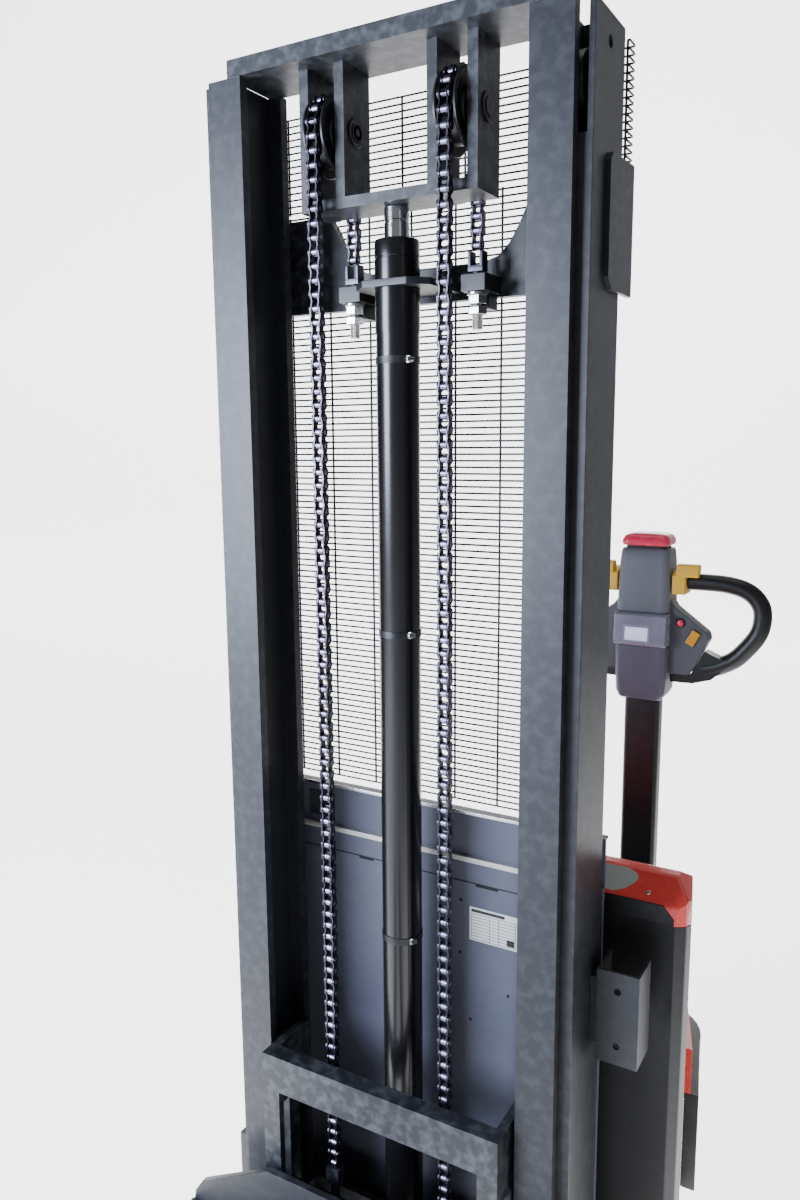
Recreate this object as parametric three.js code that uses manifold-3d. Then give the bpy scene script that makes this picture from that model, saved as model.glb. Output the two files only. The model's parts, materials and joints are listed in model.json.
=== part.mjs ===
// Walkie stacker: fork-over straddle chassis, two-stage mast with twin lift chains, and an offset tiller.
// Millimetres, +Z up, forks towards -Y, operator and tiller towards +Y.
// X = 0 is the truck's centre plane and Y = 0 the front of the inner mast, until the last group shifts
// the whole truck so that its box is centred on the origin.

import * as THREE from 'three';
import { mergeVertices } from 'three/addons/utils/BufferGeometryUtils.js';
import Module from 'manifold-3d';

const wasm = await Module();
wasm.setup();

// ---- driving dimensions -------------------------------------------------------------------------

const GAP = 0.3;                      // between solids that touch

const MAST_TOP = 2000;
const MAST_BASE = 84;                 // lowest point of everything that lifts
const INNER = { half: 278, flange: 58, thick: 16, depth: 111, webIn: 243, webOut: 255 };
const OUTER = { half: 297, flangeIn: 258, web: 8, front: 17, thick: 16, depth: 115, foot: 78.3 };
const NOTCH_BOTTOM = 1850;            // front flange cut away above this, to clear the top roller

const CHAIN_X = 102;
const CHAIN = { halfWidth: 10, halfThick: 8 };
const SHEAVE = { y: 60, z: 1914, pitch: 50, flange: 54, half: 17, bore: 12.7, groove: 12 };
const HEAD = { bar: 243, barTop: 2024, front: 30, back: 98, plate: 15, inner: 65, outer: 124, floor: 1809 };
const AXLE_R = 12;

const CYL = { y: 62, r: 31, bore: 18.6, seat: 60, top: 1764, headR: 32, headFrom: 1640 };
const ROD_R = 18;
const CLAMP = { z: 1698, height: 10, half: 60, front: 24, chamfer: 24 };

const CROSS = { front: 148, back: 164, bottom: 1689, mid: 1737, shoulder: 1832 };
const BRACKET = { in: 297.3, out: 304, front: 66, bottom: 1675, top: 1842 };
const GUARD = { y: 170, wire: 3, thick: 2.5, bottom: 915, half: 264, rows: 3 };
// The guard's top part is wider than the mast, and its ends are bent forward.
const GUARD_TOP = { bottom: 1846, top: 1993, half: 300, front: 143 };

const BODY = {
  half: 411, front: 185, rear: 480, bottom: 160.3, top: 777, wall: 4, slopeStart: 200, slope: 0.3,
};
const BODY_SIDE = [[394, 185], [407, 193], [411, 212], [359, 440], [350, 462], [334, 475], [312, 480]];
const HOOD = { rear: 400, rearTop: 760, crest: 841, side: 812, wall: 5, chamfer: 26 };
const PANEL = { front: 757, rear: 726, lip: 12, wall: 5 };
const STOP = { x: -150, stem: 11, cap: 20, boss: 24 };
const KEY = { x: -70, barrel: 12, boss: 17 };
const BULKHEAD = { half: 296, top: 908, seam: 832 };
const TRAY = { bottom: 90, floor: 98, half: 390, rim: 14 };
const CYL_BASE = { half: 174, front: 20, back: 140, bottom: 34 };
const POCKET = { x: [309, 371], y: [84, 142], z: [597, 740], thick: 4, hole: 5, holeInset: 29 };

const STEER = { x: 222, y: 600 };
const DRIVE = { r: 105, width: 70, plate: 253 };
const TILLER = { pivot: 470, armHalf: 33, armDepth: 18, headBottom: 1010, headTop: 1292, grip: 1232 };
const LOOP_R = 17;
const LOOP_START = 74.6;
const HEAD_SIDE = { half: 49, front: 20, back: 16 };     // the tiller head's block and its wings
const HORN = { x: 68, z: 1158, r: 6 };
const ROCKER = { x: 91, z: 1132, half: [8, 14], turn: 0.5 };
const CASTOR = { r: 65, half: 22, bore: 8.7, stem: 20, trail: 25 };
// A narrow moulded top over a wider bumper skirt.
const COVER = { half: 366, rearHalf: 312, rear: 738, skirt: 300, top: 390, wall: 4, corner: 76 };
const SKIRT = { half: 381, rearHalf: 344, rear: 752, bottom: 105, corner: 100 };
const REAR_FRAME = { half: 316, front: 462, cheek: 504, rear: 688, thick: 6 };

const LEG = { in: 175.5, out: 325.5, tip: -1160, end: 133.7, bottom: 22, top: 78, wheelY: -1085 };
const LOAD_R = 40;
const FORK = { in: 158, out: 343, top: 90, skin: 6, side: 42, tip: -1222, heel: -72.3 };
const CARRIAGE = { half: 210, front: -37, bar: 12, side: 14, top: 503, barHeight: 62, stile: 32, back: 80 };
const ROLLER = { y: 55.5, r: 38.5, width: 24, axle: 14, low: 150, high: 440 };
const LOWER_ROLLER = { y: 74.5, r: 40.5, z: 127 };
const UPPER_ROLLER = { y: 55.5, r: 38.5, z: 1916 };

const BATTERY = { x: [-340, 150], y: [202, 430], top: 560, vent: 18, first: [-295, 264], pitch: [80, 104] };
const PUMP = { x: [175, 335], y: [210, 430], tank: 300, motor: 62, top: 480 };

// ---- materials ----------------------------------------------------------------------------------

function finish(color, roughness, metalness) {
  return new THREE.MeshStandardMaterial({ color, roughness, metalness });
}

const PAINT = [0x2b2d31, 0.45, 0.3];
const BLACK_PAINT = [0x17181a, 0.4, 0.3];
const PLASTIC = [0x141416, 0.55, 0];
const GREY_PLASTIC = [0x6b7178, 0.5, 0];
const RED = [0xd8342c, 0.35, 0];
const YELLOW = [0xe0a81c, 0.45, 0];
const CHROME = [0xd0d2d4, 0.12, 1];
const STEEL = [0x8b8d90, 0.4, 0.9];
const POLYURETHANE = [0x3a2f2a, 0.6, 0];

// ---- geometry helpers ---------------------------------------------------------------------------

function welded(geometry) {
  const bare = geometry.clone();
  for (const name of Object.keys(bare.attributes)) {
    if (name !== 'position') {
      bare.deleteAttribute(name);
    }
  }
  return mergeVertices(bare, 1e-3);
}

function toSolid(geometry) {
  const mesh = welded(geometry);
  const triangles = [];
  for (let i = 0; i < mesh.index.count; i += 3) {
    const corners = [0, 1, 2].map((k) => mesh.index.getX(i + k));
    if (new Set(corners).size === 3) {
      triangles.push(...corners);
    }
  }
  return new wasm.Manifold(new wasm.Mesh({
    numProp: 3,
    vertProperties: Float32Array.from(mesh.attributes.position.array),
    triVerts: Uint32Array.from(triangles),
  }));
}

function toGeometry(solid) {
  const { vertProperties, triVerts } = solid.getMesh();
  const geometry = new THREE.BufferGeometry();
  geometry.setAttribute('position', new THREE.BufferAttribute(Float32Array.from(vertProperties), 3));
  geometry.setIndex(Array.from(triVerts));
  return geometry;
}

function join(...geometries) {
  const solids = geometries.map(toSolid);
  return toGeometry(solids.reduce((whole, solid) => whole.add(solid)));
}

function cut(geometry, ...tools) {
  const solids = tools.map(toSolid);
  return toGeometry(solids.reduce((whole, solid) => whole.subtract(solid), toSolid(geometry)));
}

function common(...geometries) {
  const solids = geometries.map(toSolid);
  return toGeometry(solids.reduce((whole, solid) => whole.intersect(solid)));
}

function mirrored(geometry) {
  const copy = welded(geometry);
  copy.scale(-1, 1, 1);
  const index = copy.index.array;
  for (let i = 0; i < index.length; i += 3) {
    [index[i + 1], index[i + 2]] = [index[i + 2], index[i + 1]];
  }
  return copy;
}

function box([x0, x1], [y0, y1], [z0, z1]) {
  const geometry = new THREE.BoxGeometry(x1 - x0, y1 - y0, z1 - z0);
  return geometry.translate((x0 + x1) / 2, (y0 + y1) / 2, (z0 + z1) / 2);
}

function outline(points, holes = []) {
  const shape = new THREE.Shape(points.map(([a, b]) => new THREE.Vector2(a, b)));
  shape.holes = holes.map((hole) => new THREE.Path(hole.map(([a, b]) => new THREE.Vector2(a, b))));
  return shape;
}

function rectangle([a0, a1], [b0, b1]) {
  return [[a0, b0], [a1, b0], [a1, b1], [a0, b1]];
}

// An outline in X and Y, raised from z0 to z1.
function raiseZ(shape, z0, z1) {
  const geometry = new THREE.ExtrudeGeometry(shape, { depth: z1 - z0, bevelEnabled: false });
  return geometry.translate(0, 0, z0);
}

// An outline in Y and Z, raised from x0 to x1.
function raiseX(shape, x0, x1) {
  const geometry = raiseZ(shape, x0, x1);
  return geometry.applyMatrix4(new THREE.Matrix4().set(0, 0, 1, 0, 1, 0, 0, 0, 0, 1, 0, 0, 0, 0, 0, 1));
}

// An outline in X and Z, raised from y0 to y1.
function raiseY(shape, y0, y1) {
  const geometry = raiseZ(shape, -y1, -y0);
  return geometry.applyMatrix4(new THREE.Matrix4().set(1, 0, 0, 0, 0, 0, -1, 0, 0, 1, 0, 0, 0, 0, 0, 1));
}

function roundedRectangle([a0, a1], [b0, b1], radius, steps = 4) {
  const points = [];
  const centres = [
    [a1 - radius, b1 - radius], [a0 + radius, b1 - radius],
    [a0 + radius, b0 + radius], [a1 - radius, b0 + radius],
  ];
  centres.forEach(([a, b], quarter) => {
    for (let i = 0; i <= steps; i += 1) {
      const angle = (quarter + i / steps) * Math.PI / 2;
      points.push([a + radius * Math.cos(angle), b + radius * Math.sin(angle)]);
    }
  });
  return points;
}

// A round bar whose flats touch the radius, standing on Z; turned() lays it along another axis.
function bar(radius, z0, z1, sides = 16, topRadius = radius) {
  const turn = Math.PI / sides;
  const scale = 1 / Math.cos(turn);
  const geometry = new THREE.CylinderGeometry(
    topRadius * scale, radius * scale, z1 - z0, sides, 1, false, turn,
  );
  return geometry.rotateX(Math.PI / 2).translate(0, 0, (z0 + z1) / 2);
}

function barX(radius, x0, x1, y, z, sides = 16) {
  return bar(radius, x0, x1, sides).rotateY(Math.PI / 2).translate(0, y, z);
}

function barY(radius, x, y0, y1, z, sides = 16) {
  return bar(radius, -y1, -y0, sides).rotateX(Math.PI / 2).translate(x, 0, z);
}

function barZ(radius, x, y, z0, z1, sides = 16) {
  return bar(radius, z0, z1, sides).translate(x, y, 0);
}

// A wheel or roller on the X axis: [distance along the axle, radius] pairs run round its section.
function wheelX(section, x, y, z, sides) {
  const scale = 1 / Math.cos(Math.PI / sides);
  const points = section.map(([along, radius]) => new THREE.Vector2(radius * scale, along));
  const wheel = new THREE.LatheGeometry([...points, points[0]], sides, Math.PI / sides);
  return wheel.rotateX(Math.PI / 2).rotateY(Math.PI / 2).translate(x, y, z);
}

function ringSection(half, bore, radius, bevel) {
  return [
    [-half, bore], [half, bore], [half, radius - bevel], [half - bevel, radius],
    [-half + bevel, radius], [-half, radius - bevel],
  ].reverse();
}

function tube(points, radius, sides, steps) {
  const path = new THREE.CatmullRomCurve3(points.map((p) => new THREE.Vector3(...p)), false, 'centripetal');
  const section = new THREE.Shape();
  for (let i = 0; i < sides; i += 1) {
    const angle = 2 * Math.PI * i / sides;
    section[i ? 'lineTo' : 'moveTo'](radius * Math.cos(angle), radius * Math.sin(angle));
  }
  return new THREE.ExtrudeGeometry(section, { steps, extrudePath: path, bevelEnabled: false });
}

const truck = new THREE.Group();

function add(name, geometry, look) {
  const mesh = new THREE.Mesh(welded(geometry), finish(...look));
  mesh.name = name;
  truck.add(mesh);
}

function addPair(name, rightGeometry, look) {
  add(`${name}_right`, rightGeometry, look);
  add(`${name}_left`, mirrored(rightGeometry), look);
}

// ---- chassis ------------------------------------------------------------------------------------

function chassisFrame() {
  const { half, front, cheek, rear, thick } = REAR_FRAME;
  const plateTop = DRIVE.plate + 10;
  const tray = [TRAY.bottom, BODY.bottom - GAP];
  const base = CYL_BASE;
  const wheelWell = barZ(72, STEER.x, STEER.y, DRIVE.plate - 5, plateTop + 5, 20);
  const rearSides = [-1, 1].map((side) => {
    const x = side * (half - thick / 2);
    return box([x - thick / 2, x + thick / 2], [front, cheek], [100, plateTop]);
  });
  const whole = join(
    box([-BODY.half, BODY.half], [134, BODY.front - 1], [LEG.bottom, tray[1]]),
    box([-TRAY.half, TRAY.half], [BODY.front - 2, BODY.front + 5], tray),
    box([-base.half, base.half], [base.front, base.back], [base.bottom, CYL.seat]),
    raiseZ(outline(bodyPlan(0)), TRAY.bottom, TRAY.floor),
    raiseZ(outline(bodyPlan(0), [bodyPlan(TRAY.rim)]), ...tray),
    box([-half, half], [front, front + 12], [92, plateTop]),
    box([-half, half], [front, rear], [DRIVE.plate, plateTop]),
    ...rearSides,
  );
  return cut(whole, wheelWell);
}

function leg() {
  const beam = box([LEG.in, LEG.out], [LEG.tip, LEG.end], [LEG.bottom, LEG.top]);
  const middle = (LEG.in + LEG.out) / 2;
  const slot = box([middle - 45, middle + 45], [LEG.wheelY - 46, LEG.wheelY + 46], [0, 100]);
  const chamfer = box([LEG.in - 1, LEG.out + 1], [-30, 30], [-30, 30]);
  chamfer.rotateX(Math.PI / 4).translate(0, LEG.tip - 12, LEG.bottom - 12);
  return join(cut(beam, slot, chamfer), barX(10, middle - 46, middle + 46, LEG.wheelY, LOAD_R, 12));
}

function loadRoller() {
  return wheelX(ringSection(42, 10.8, LOAD_R, 4), (LEG.in + LEG.out) / 2, LEG.wheelY, LOAD_R, 24);
}

// Stands a control drawn on Z = 0 on the middle of the sloping instrument panel.
function onPanel(geometry, x) {
  const depth = BODY.rear - PANEL.lip - HOOD.rear;
  const tilt = -Math.atan2(PANEL.front - PANEL.rear, depth);
  return geometry.rotateX(tilt).translate(x, HOOD.rear + depth / 2, (PANEL.front + PANEL.rear) / 2);
}

function slopeZ(y) {
  return BODY.top - Math.max(0, y - BODY.slopeStart) * BODY.slope;
}

// A convex outline, anticlockwise, with every edge moved inwards.
function shrunk(points, distance) {
  const edges = points.map(([x0, y0], i) => {
    const [x1, y1] = points[(i + 1) % points.length];
    const length = Math.hypot(x1 - x0, y1 - y0);
    const along = [(x1 - x0) / length, (y1 - y0) / length];
    return { from: [x0 - along[1] * distance, y0 + along[0] * distance], along };
  });
  return edges.map((edge, i) => {
    const last = edges[(i + edges.length - 1) % edges.length];
    const turn = last.along[0] * edge.along[1] - last.along[1] * edge.along[0];
    const offset = [edge.from[0] - last.from[0], edge.from[1] - last.from[1]];
    const reach = (offset[0] * edge.along[1] - offset[1] * edge.along[0]) / turn;
    return [last.from[0] + last.along[0] * reach, last.from[1] + last.along[1] * reach];
  });
}

function symmetric(right) {
  return [...right, ...right.map(([x, y]) => [-x, y]).reverse()];
}

function bodyPlan(inset) {
  return shrunk(symmetric(BODY_SIDE), inset);
}

function bodyShell() {
  const { bottom, top, wall, slopeStart, rear } = BODY;
  const ring = raiseZ(outline(bodyPlan(0), [bodyPlan(wall)]), bottom, top);
  const past = rear + 10;
  const above = [[slopeStart, top], [past, slopeZ(past)], [past, top + 10], [slopeStart, top + 10]];
  const slope = raiseX(outline(above), -BODY.half - 10, BODY.half + 10);
  const doorway = box([-330, 330], [rear - 14, rear + 10], [bottom - 10, DRIVE.plate + 15]);
  return cut(ring, slope, doorway);
}

// A moulded top cover: the Y-Z outline with its top corners chamfered along both sides.
function topCover(points, inset) {
  const half = BODY.half - inset;
  const { chamfer, side, crest } = HOOD;
  const section = symmetric([[half, 600], [half, side - inset], [half - chamfer, crest - inset + 1]]);
  return common(
    common(raiseX(outline(points), -half, half), raiseY(outline(section), 150, 560)),
    raiseZ(outline(bodyPlan(inset)), 600, 900),
  );
}

function hood() {
  const { rear, rearTop, crest, wall } = HOOD;
  const seat = (y) => slopeZ(y) + GAP;
  const outer = topCover([
    [BODY.front, seat(BODY.front)], [BODY.slopeStart, seat(BODY.slopeStart)], [rear - 15, seat(rear - 15)],
    [rear - 14, seat(rear) + 4], [rear, seat(rear) + 4], [rear, rearTop], [300, 806], [240, crest],
    [222, crest - 1], [BODY.front + 2, 806],
  ], 0);
  const inner = topCover([
    [BODY.front + wall, 700], [rear - wall, 690], [rear - wall, rearTop - wall], [300, 806 - wall],
    [239, crest - wall], [224, crest - 1 - wall], [BODY.front + wall + 2, 804 - wall],
  ], wall);
  return cut(outer, inner);
}

function instrumentPanel() {
  const front = HOOD.rear + GAP;
  const rear = BODY.rear;
  const outer = topCover([
    [front, slopeZ(front) + GAP], [rear, slopeZ(rear) + GAP], [rear, PANEL.rear - 8],
    [rear - PANEL.lip, PANEL.rear], [front, PANEL.front],
  ], 0);
  const { wall } = PANEL;
  const inner = topCover([
    [front + wall, slopeZ(front) - 20], [rear - wall, slopeZ(rear) - 20],
    [rear - wall, PANEL.rear - wall - 8], [front + wall, PANEL.front - wall - 3],
  ], wall);
  const bosses = [onPanel(bar(STOP.boss, -3, 8, 20), STOP.x), onPanel(bar(KEY.boss, -3, 5, 20), KEY.x)];
  const stopBore = onPanel(bar(STOP.stem + 1.5, -20, 20, 20), STOP.x);
  return cut(join(cut(outer, inner), ...bosses), stopBore);
}

function bulkheadPanel() {
  const { half, top, seam } = BULKHEAD;
  return join(
    box([-half, half], [150, 154], [seam - 20, top]),
    box([-half, half], [144, 151], [BODY.bottom, seam]),
    box([-half, half], [146, 163], [top - 4, top]),
  );
}

function sideBracket() {
  const { thick, hole, holeInset } = POCKET;
  const [x0, x1] = POCKET.x;
  const [y0, y1] = POCKET.y;
  const [z0, z1] = POCKET.z;
  const walls = join(
    box([x0, x1], [y0, y0 + thick], [z0, z1]),
    box([x1 - thick, x1], [y0, y1], [z0, z1]),
    box([x0, x0 + thick], [y0, y1], [z0, z1]),
    box([OUTER.half + GAP, x0 + 2], [y0 + 10, y1 - 10], [z0 + 20, z1 - 20]),
  );
  const middle = (x0 + x1) / 2;
  const holes = [z0 + holeInset, z1 - holeInset].map((z) => barY(hole, middle, y0 - 2, y0 + 6, z, 12));
  return cut(walls, ...holes);
}

// ---- drive end ----------------------------------------------------------------------------------

function coverPlan({ half, rearHalf, rear, corner }) {
  const side = [[half, BODY.rear + GAP]];
  for (let i = 0; i <= 8; i += 1) {
    const angle = Math.PI / 2 * i / 8;
    side.push([rearHalf - corner + corner * Math.cos(angle), rear - corner + corner * Math.sin(angle)]);
  }
  return symmetric(side);
}

function driveCover() {
  const { wall, skirt, top } = COVER;
  const upper = coverPlan(COVER);
  const lower = coverPlan(SKIRT);
  const under = SKIRT.bottom - 10;
  const front = [BODY.rear - 5, BODY.rear + 8];
  const inner = join(
    raiseZ(outline(shrunk(upper, wall)), under, top - wall),
    raiseZ(outline(shrunk(lower, wall)), under, skirt - wall),
    box([-COVER.half + 12, COVER.half - 12], front, [under, top - wall]),
  );
  const steeringHole = barZ(66, STEER.x, STEER.y, top - 20, top + 10, 24);
  const edge = box([-500, 500], [-40, 40], [-40, 40]);
  edge.rotateX(Math.PI / 4).translate(0, COVER.rear + 36, top + 4);
  const whole = join(
    raiseZ(outline(upper), skirt - wall, top),
    raiseZ(outline(lower), SKIRT.bottom, skirt),
  );
  return cut(whole, inner, steeringHole, edge);
}

function castorFork() {
  const x = -STEER.x;
  const y = STEER.y - 10;
  const arms = [-1, 1].map((side) => raiseX(outline([
    [y - 30, 150], [y + 30, 150], [y + 50, 70], [y + 45, 52], [y + 25, 52], [y - 5, 90],
  ]), x + side * 30 - 3, x + side * 30 + 3));
  return join(
    box([x - 33, x + 33], [y - 34, y + 34], [146, 156]),
    barZ(36, x, y, 155, 170, 20),
    barZ(CASTOR.stem, x, y, 165, DRIVE.plate - GAP, 16),
    barX(8, x - 32, x + 32, STEER.y + CASTOR.trail, CASTOR.r, 12),
    ...arms,
  );
}

function castorWheel() {
  const { half, bore, r, trail } = CASTOR;
  return wheelX(ringSection(half, bore, r, 6), -STEER.x, STEER.y + trail, r, 28);
}

function driveUnit() {
  const { x, y } = STEER;
  return join(
    barZ(86, x, y, 236, 250, 24),
    barZ(64, x, y, 249, 400, 24),
    box([x + 42, x + 82], [y - 42, y + 42], [72, 240]),
    barX(42, x + 42, x + 82, y, DRIVE.r, 20),
    barX(24, x - 30, x + 44, y, DRIVE.r, 16),
  );
}

function driveWheel() {
  const section = ringSection(DRIVE.width / 2, 25, DRIVE.r, 6);
  return wheelX(section, STEER.x, STEER.y, DRIVE.r, 32);
}

function tillerYoke() {
  const { x, y } = STEER;
  const ear = [];
  for (let i = 0; i <= 8; i += 1) {
    const angle = Math.PI * i / 8;
    ear.push([y + 24 * Math.cos(angle), TILLER.pivot + 24 * Math.sin(angle)]);
  }
  const shape = outline([...ear, [y - 34, 436], [y + 34, 436]]);
  return join(
    barZ(60, x, y, 400 + GAP, 438, 24),
    raiseX(shape, x - 36, x - 22),
    raiseX(shape, x + 22, x + 36),
    barX(9, x - 37, x + 37, y, TILLER.pivot, 12),
  );
}

function tillerArm() {
  const { x, y } = STEER;
  const { pivot, armHalf, armDepth } = TILLER;
  const shaft = raiseZ(
    outline(roundedRectangle([x - armHalf, x + armHalf], [y - armDepth, y + armDepth], 8, 3)),
    pivot + 34,
    TILLER.headBottom + 40,
  );
  const foot = join(
    box([x - 20, x + 20], [y - armDepth, y + armDepth], [pivot, pivot + 40]),
    barX(armDepth, x - 20, x + 20, y, pivot, 16),
  );
  return cut(join(shaft, foot), barX(9.8, x - 30, x + 30, y, pivot, 12));
}

// The head is symmetric about the tiller's own centre plane, so it is drawn there.
function headProfile() {
  const { half } = HEAD_SIDE;
  return symmetric([[40, 1010], [47, 1022], [half, 1112], [half, 1168], [45, TILLER.headTop]]);
}

function tillerHead() {
  const side = outline([
    [-42, 1010], [36, 1010], [40, 1030], [38, TILLER.headTop - 26], [30, TILLER.headTop],
    [-30, TILLER.headTop], [-38, TILLER.headTop - 14], [-38, 1176], [-48, 1170], [-53, 1120], [-44, 1110],
  ]);
  const block = common(raiseY(outline(headProfile()), -60, 60), raiseX(side, -60, 60));
  const { front, back } = HEAD_SIDE;
  const wing = raiseY(outline([
    [40, 1060], [84, 1060], [119, 1130], [116, 1142], [58, 1186], [40, 1212],
  ]), -front, back);
  const shaftHole = barX(12.7, -60, 60, 0, TILLER.grip, 16);
  const armSocket = box(
    [-TILLER.armHalf - GAP, TILLER.armHalf + GAP],
    [-TILLER.armDepth - GAP, TILLER.armDepth + GAP],
    [1000, TILLER.headBottom + 40 + GAP],
  );
  const hornWell = barY(HORN.r + 0.6, HORN.x, -front - 2, 2.5 - front, HORN.z, 14);
  const rockerWell = onWing(rockerOutline(1), -front - 2, 1.5 - front);
  const whole = cut(join(block, wing, mirrored(wing)), shaftHole, armSocket, hornWell, rockerWell);
  return whole.translate(STEER.x, STEER.y, 0);
}

// The rocker's outline, grown by a margin, and its place on the right wing.
function rockerOutline(margin) {
  const [x, z] = ROCKER.half.map((half) => half + margin);
  return roundedRectangle([-x, x], [-z, z], 3, 2);
}

function onWing(points, y0, y1) {
  return raiseY(outline(points), y0, y1).rotateY(ROCKER.turn).translate(ROCKER.x, 0, ROCKER.z);
}

// A loop grip, from the throttle round to a broad root that lies under and beside the head's wing.
function loopHandle(side) {
  const points = [
    [LOOP_START, 0, TILLER.grip], [108, 0, TILLER.grip], [150, 0, 1229], [186, 0, 1216], [205, 0, 1183],
    [196, 0, 1138], [163, 0, 1097], [132, 0, 1079], [107, 0, 1072],
  ];
  const root = raiseY(outline([
    [HEAD_SIDE.half + 0.6, 1044], [92, 1045], [124, 1055], [140, 1070], [136, 1098], [112, 1108],
    [109, 1108], [84.6, 1059.6], [HEAD_SIDE.half + 0.6, 1059.6],
  ]), -14, 14);
  const loop = join(tube(points, LOOP_R, 12, 26), root);
  const placed = side > 0 ? loop : mirrored(loop);
  return placed.translate(STEER.x, STEER.y, 0);
}

function butterfly() {
  const { grip } = TILLER;
  const inside = HEAD_SIDE.half + 0.6;
  const end = LOOP_START - 0.6;
  const knob = raiseX(outline(roundedRectangle([-26, 26], [grip - 23, grip + 22], 12)), inside, end);
  const lever = raiseX(outline(roundedRectangle([-30, -6], [grip + 10, grip + 34], 6)), 60, 98);
  const right = join(knob, cut(lever, barX(LOOP_R + 1.6, end, 110, 0, grip, 20)));
  const shaft = barX(12, -inside - 2, inside + 2, 0, grip, 16);
  return join(right, mirrored(right), shaft).translate(STEER.x, STEER.y, 0);
}

function bellyButton() {
  const base = TILLER.headTop + 4.5;
  const top = base + 23.5;
  const front = outline(symmetric([[44, base], [44.5, top - 13], [37, top - 4], [16, top]]));
  const side = outline(roundedRectangle([-36, 34], [TILLER.headTop, top + 2], 10));
  return common(raiseY(front, -60, 60), raiseX(side, -60, 60)).translate(STEER.x, STEER.y, 0);
}

function hornButton() {
  const button = barY(HORN.r, HORN.x, -27, -HEAD_SIDE.front - GAP, HORN.z, 14);
  return button.translate(STEER.x, STEER.y, 0);
}

function liftRocker() {
  const pad = onWing(rockerOutline(0), -26, -HEAD_SIDE.front - GAP);
  return pad.translate(STEER.x, STEER.y, 0);
}

// ---- mast ---------------------------------------------------------------------------------------

function outerRail() {
  const { half, flangeIn, web, front, thick, depth, foot } = OUTER;
  const back = front + depth;
  const section = raiseZ(outline([
    [flangeIn, front], [half, front], [half, back], [flangeIn, back], [flangeIn, back - thick],
    [half - web, back - thick], [half - web, front + thick], [flangeIn, front + thick],
  ]), foot, MAST_TOP);
  const notch = box([flangeIn - 1, half - web], [front - 1, front + thick + 1], [NOTCH_BOTTOM, MAST_TOP + 1]);
  const hole = barX(7.5, half - web - 2, half + 2, 74, 1966, 16);
  const axle = barX(ROLLER.axle, 262, half - web + 1, UPPER_ROLLER.y, UPPER_ROLLER.z);
  return join(cut(section, notch, hole), axle);
}

function innerRail() {
  const { half, flange, thick, depth, webIn, webOut } = INNER;
  const inside = half - flange;
  const section = raiseZ(outline([
    [inside, 0], [half, 0], [half, thick], [webOut, thick], [webOut, depth - thick], [half, depth - thick],
    [half, depth], [inside, depth], [inside, depth - thick], [webIn, depth - thick], [webIn, thick],
    [inside, thick],
  ]), MAST_BASE, MAST_TOP);
  const reach = LOWER_ROLLER.z + LOWER_ROLLER.r + 5;
  const notch = box([webOut + 1, half + 1], [depth - thick - 1, depth + 1], [MAST_BASE - 1, reach]);
  const axle = barX(ROLLER.axle, webOut - 1, 280, LOWER_ROLLER.y, LOWER_ROLLER.z);
  return join(cut(section, notch), axle);
}

function rollerAt(x, { y, r, z }) {
  return wheelX(ringSection(ROLLER.width / 2, ROLLER.axle + 0.6, r, 2), x, y, z, 24);
}

function upperCrossMember() {
  const { front, back, bottom, mid, shoulder } = CROSS;
  const half = BRACKET.out;
  const saddle = [
    [half, bottom], [half, shoulder], [173, shoulder], [160, 1812], [147, 1785], [133, 1762], [116, 1746],
    [92, mid + 2], [60, mid],
  ];
  const plate = raiseY(outline(symmetric(saddle)), front, back);
  const cheek = raiseX(outline([
    [BRACKET.front, BRACKET.bottom + 14], [BRACKET.front + 14, BRACKET.bottom], [back, BRACKET.bottom],
    [back, BRACKET.top], [BRACKET.front + 10, BRACKET.top - 3], [BRACKET.front, BRACKET.top - 14],
  ]), BRACKET.in, BRACKET.out);
  const railBack = OUTER.front + OUTER.depth;
  const spacer = box([OUTER.flangeIn + 4, OUTER.half], [railBack + GAP, front + 1], [1705, 1800]);
  return join(plate, cheek, mirrored(cheek), spacer, mirrored(spacer));
}

// An upright frame with a middle bar, divided into rows of windows.
function grille(half, bottom, top, rows) {
  const { y, wire, thick } = GUARD;
  const windows = [];
  const height = (top - bottom) / rows;
  const halfWindow = half / 2 - wire;
  for (const x of [-half / 2, half / 2]) {
    for (let row = 0; row < rows; row += 1) {
      const z = bottom + row * height;
      windows.push(box([x - halfWindow, x + halfWindow], [y - 9, y + 9], [z + wire, z + height - wire]));
    }
  }
  return cut(box([-half, half], [y - thick, y + thick], [bottom, top]), ...windows);
}

function meshGuard() {
  const { y, wire, thick, bottom, half, rows } = GUARD;
  const wide = GUARD_TOP;
  const foot = box([half - 14, half], [CROSS.back + GAP, y], [1700, 1712]);
  const end = box([wide.half - wire, wide.half], [wide.front, y + thick], [wide.bottom, wide.top]);
  return join(
    grille(half, bottom, wide.bottom, rows),
    grille(wide.half, wide.bottom, wide.top, 1),
    foot,
    mirrored(foot),
    end,
    mirrored(end),
  );
}

function liftCylinder() {
  const { y, r, bore, seat, top, headR, headFrom } = CYL;
  const body = join(barZ(r, 0, y, seat + GAP, top, 28), barZ(headR, 0, y, headFrom, top, 28));
  return cut(body, barZ(bore, 0, y, seat + 40, top + 10, 20));
}

// The plate that holds the cylinder's head to the upper cross-member.
function cylinderClamp() {
  const { z, height, half, front, chamfer } = CLAMP;
  const plate = raiseZ(outline(symmetric([
    [half - chamfer, front], [half, front + chamfer], [half, CROSS.front - GAP],
  ])), z, z + height);
  return cut(plate, barZ(CYL.headR + GAP, 0, CYL.y, z - 10, z + height + 10, 28));
}

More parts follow.
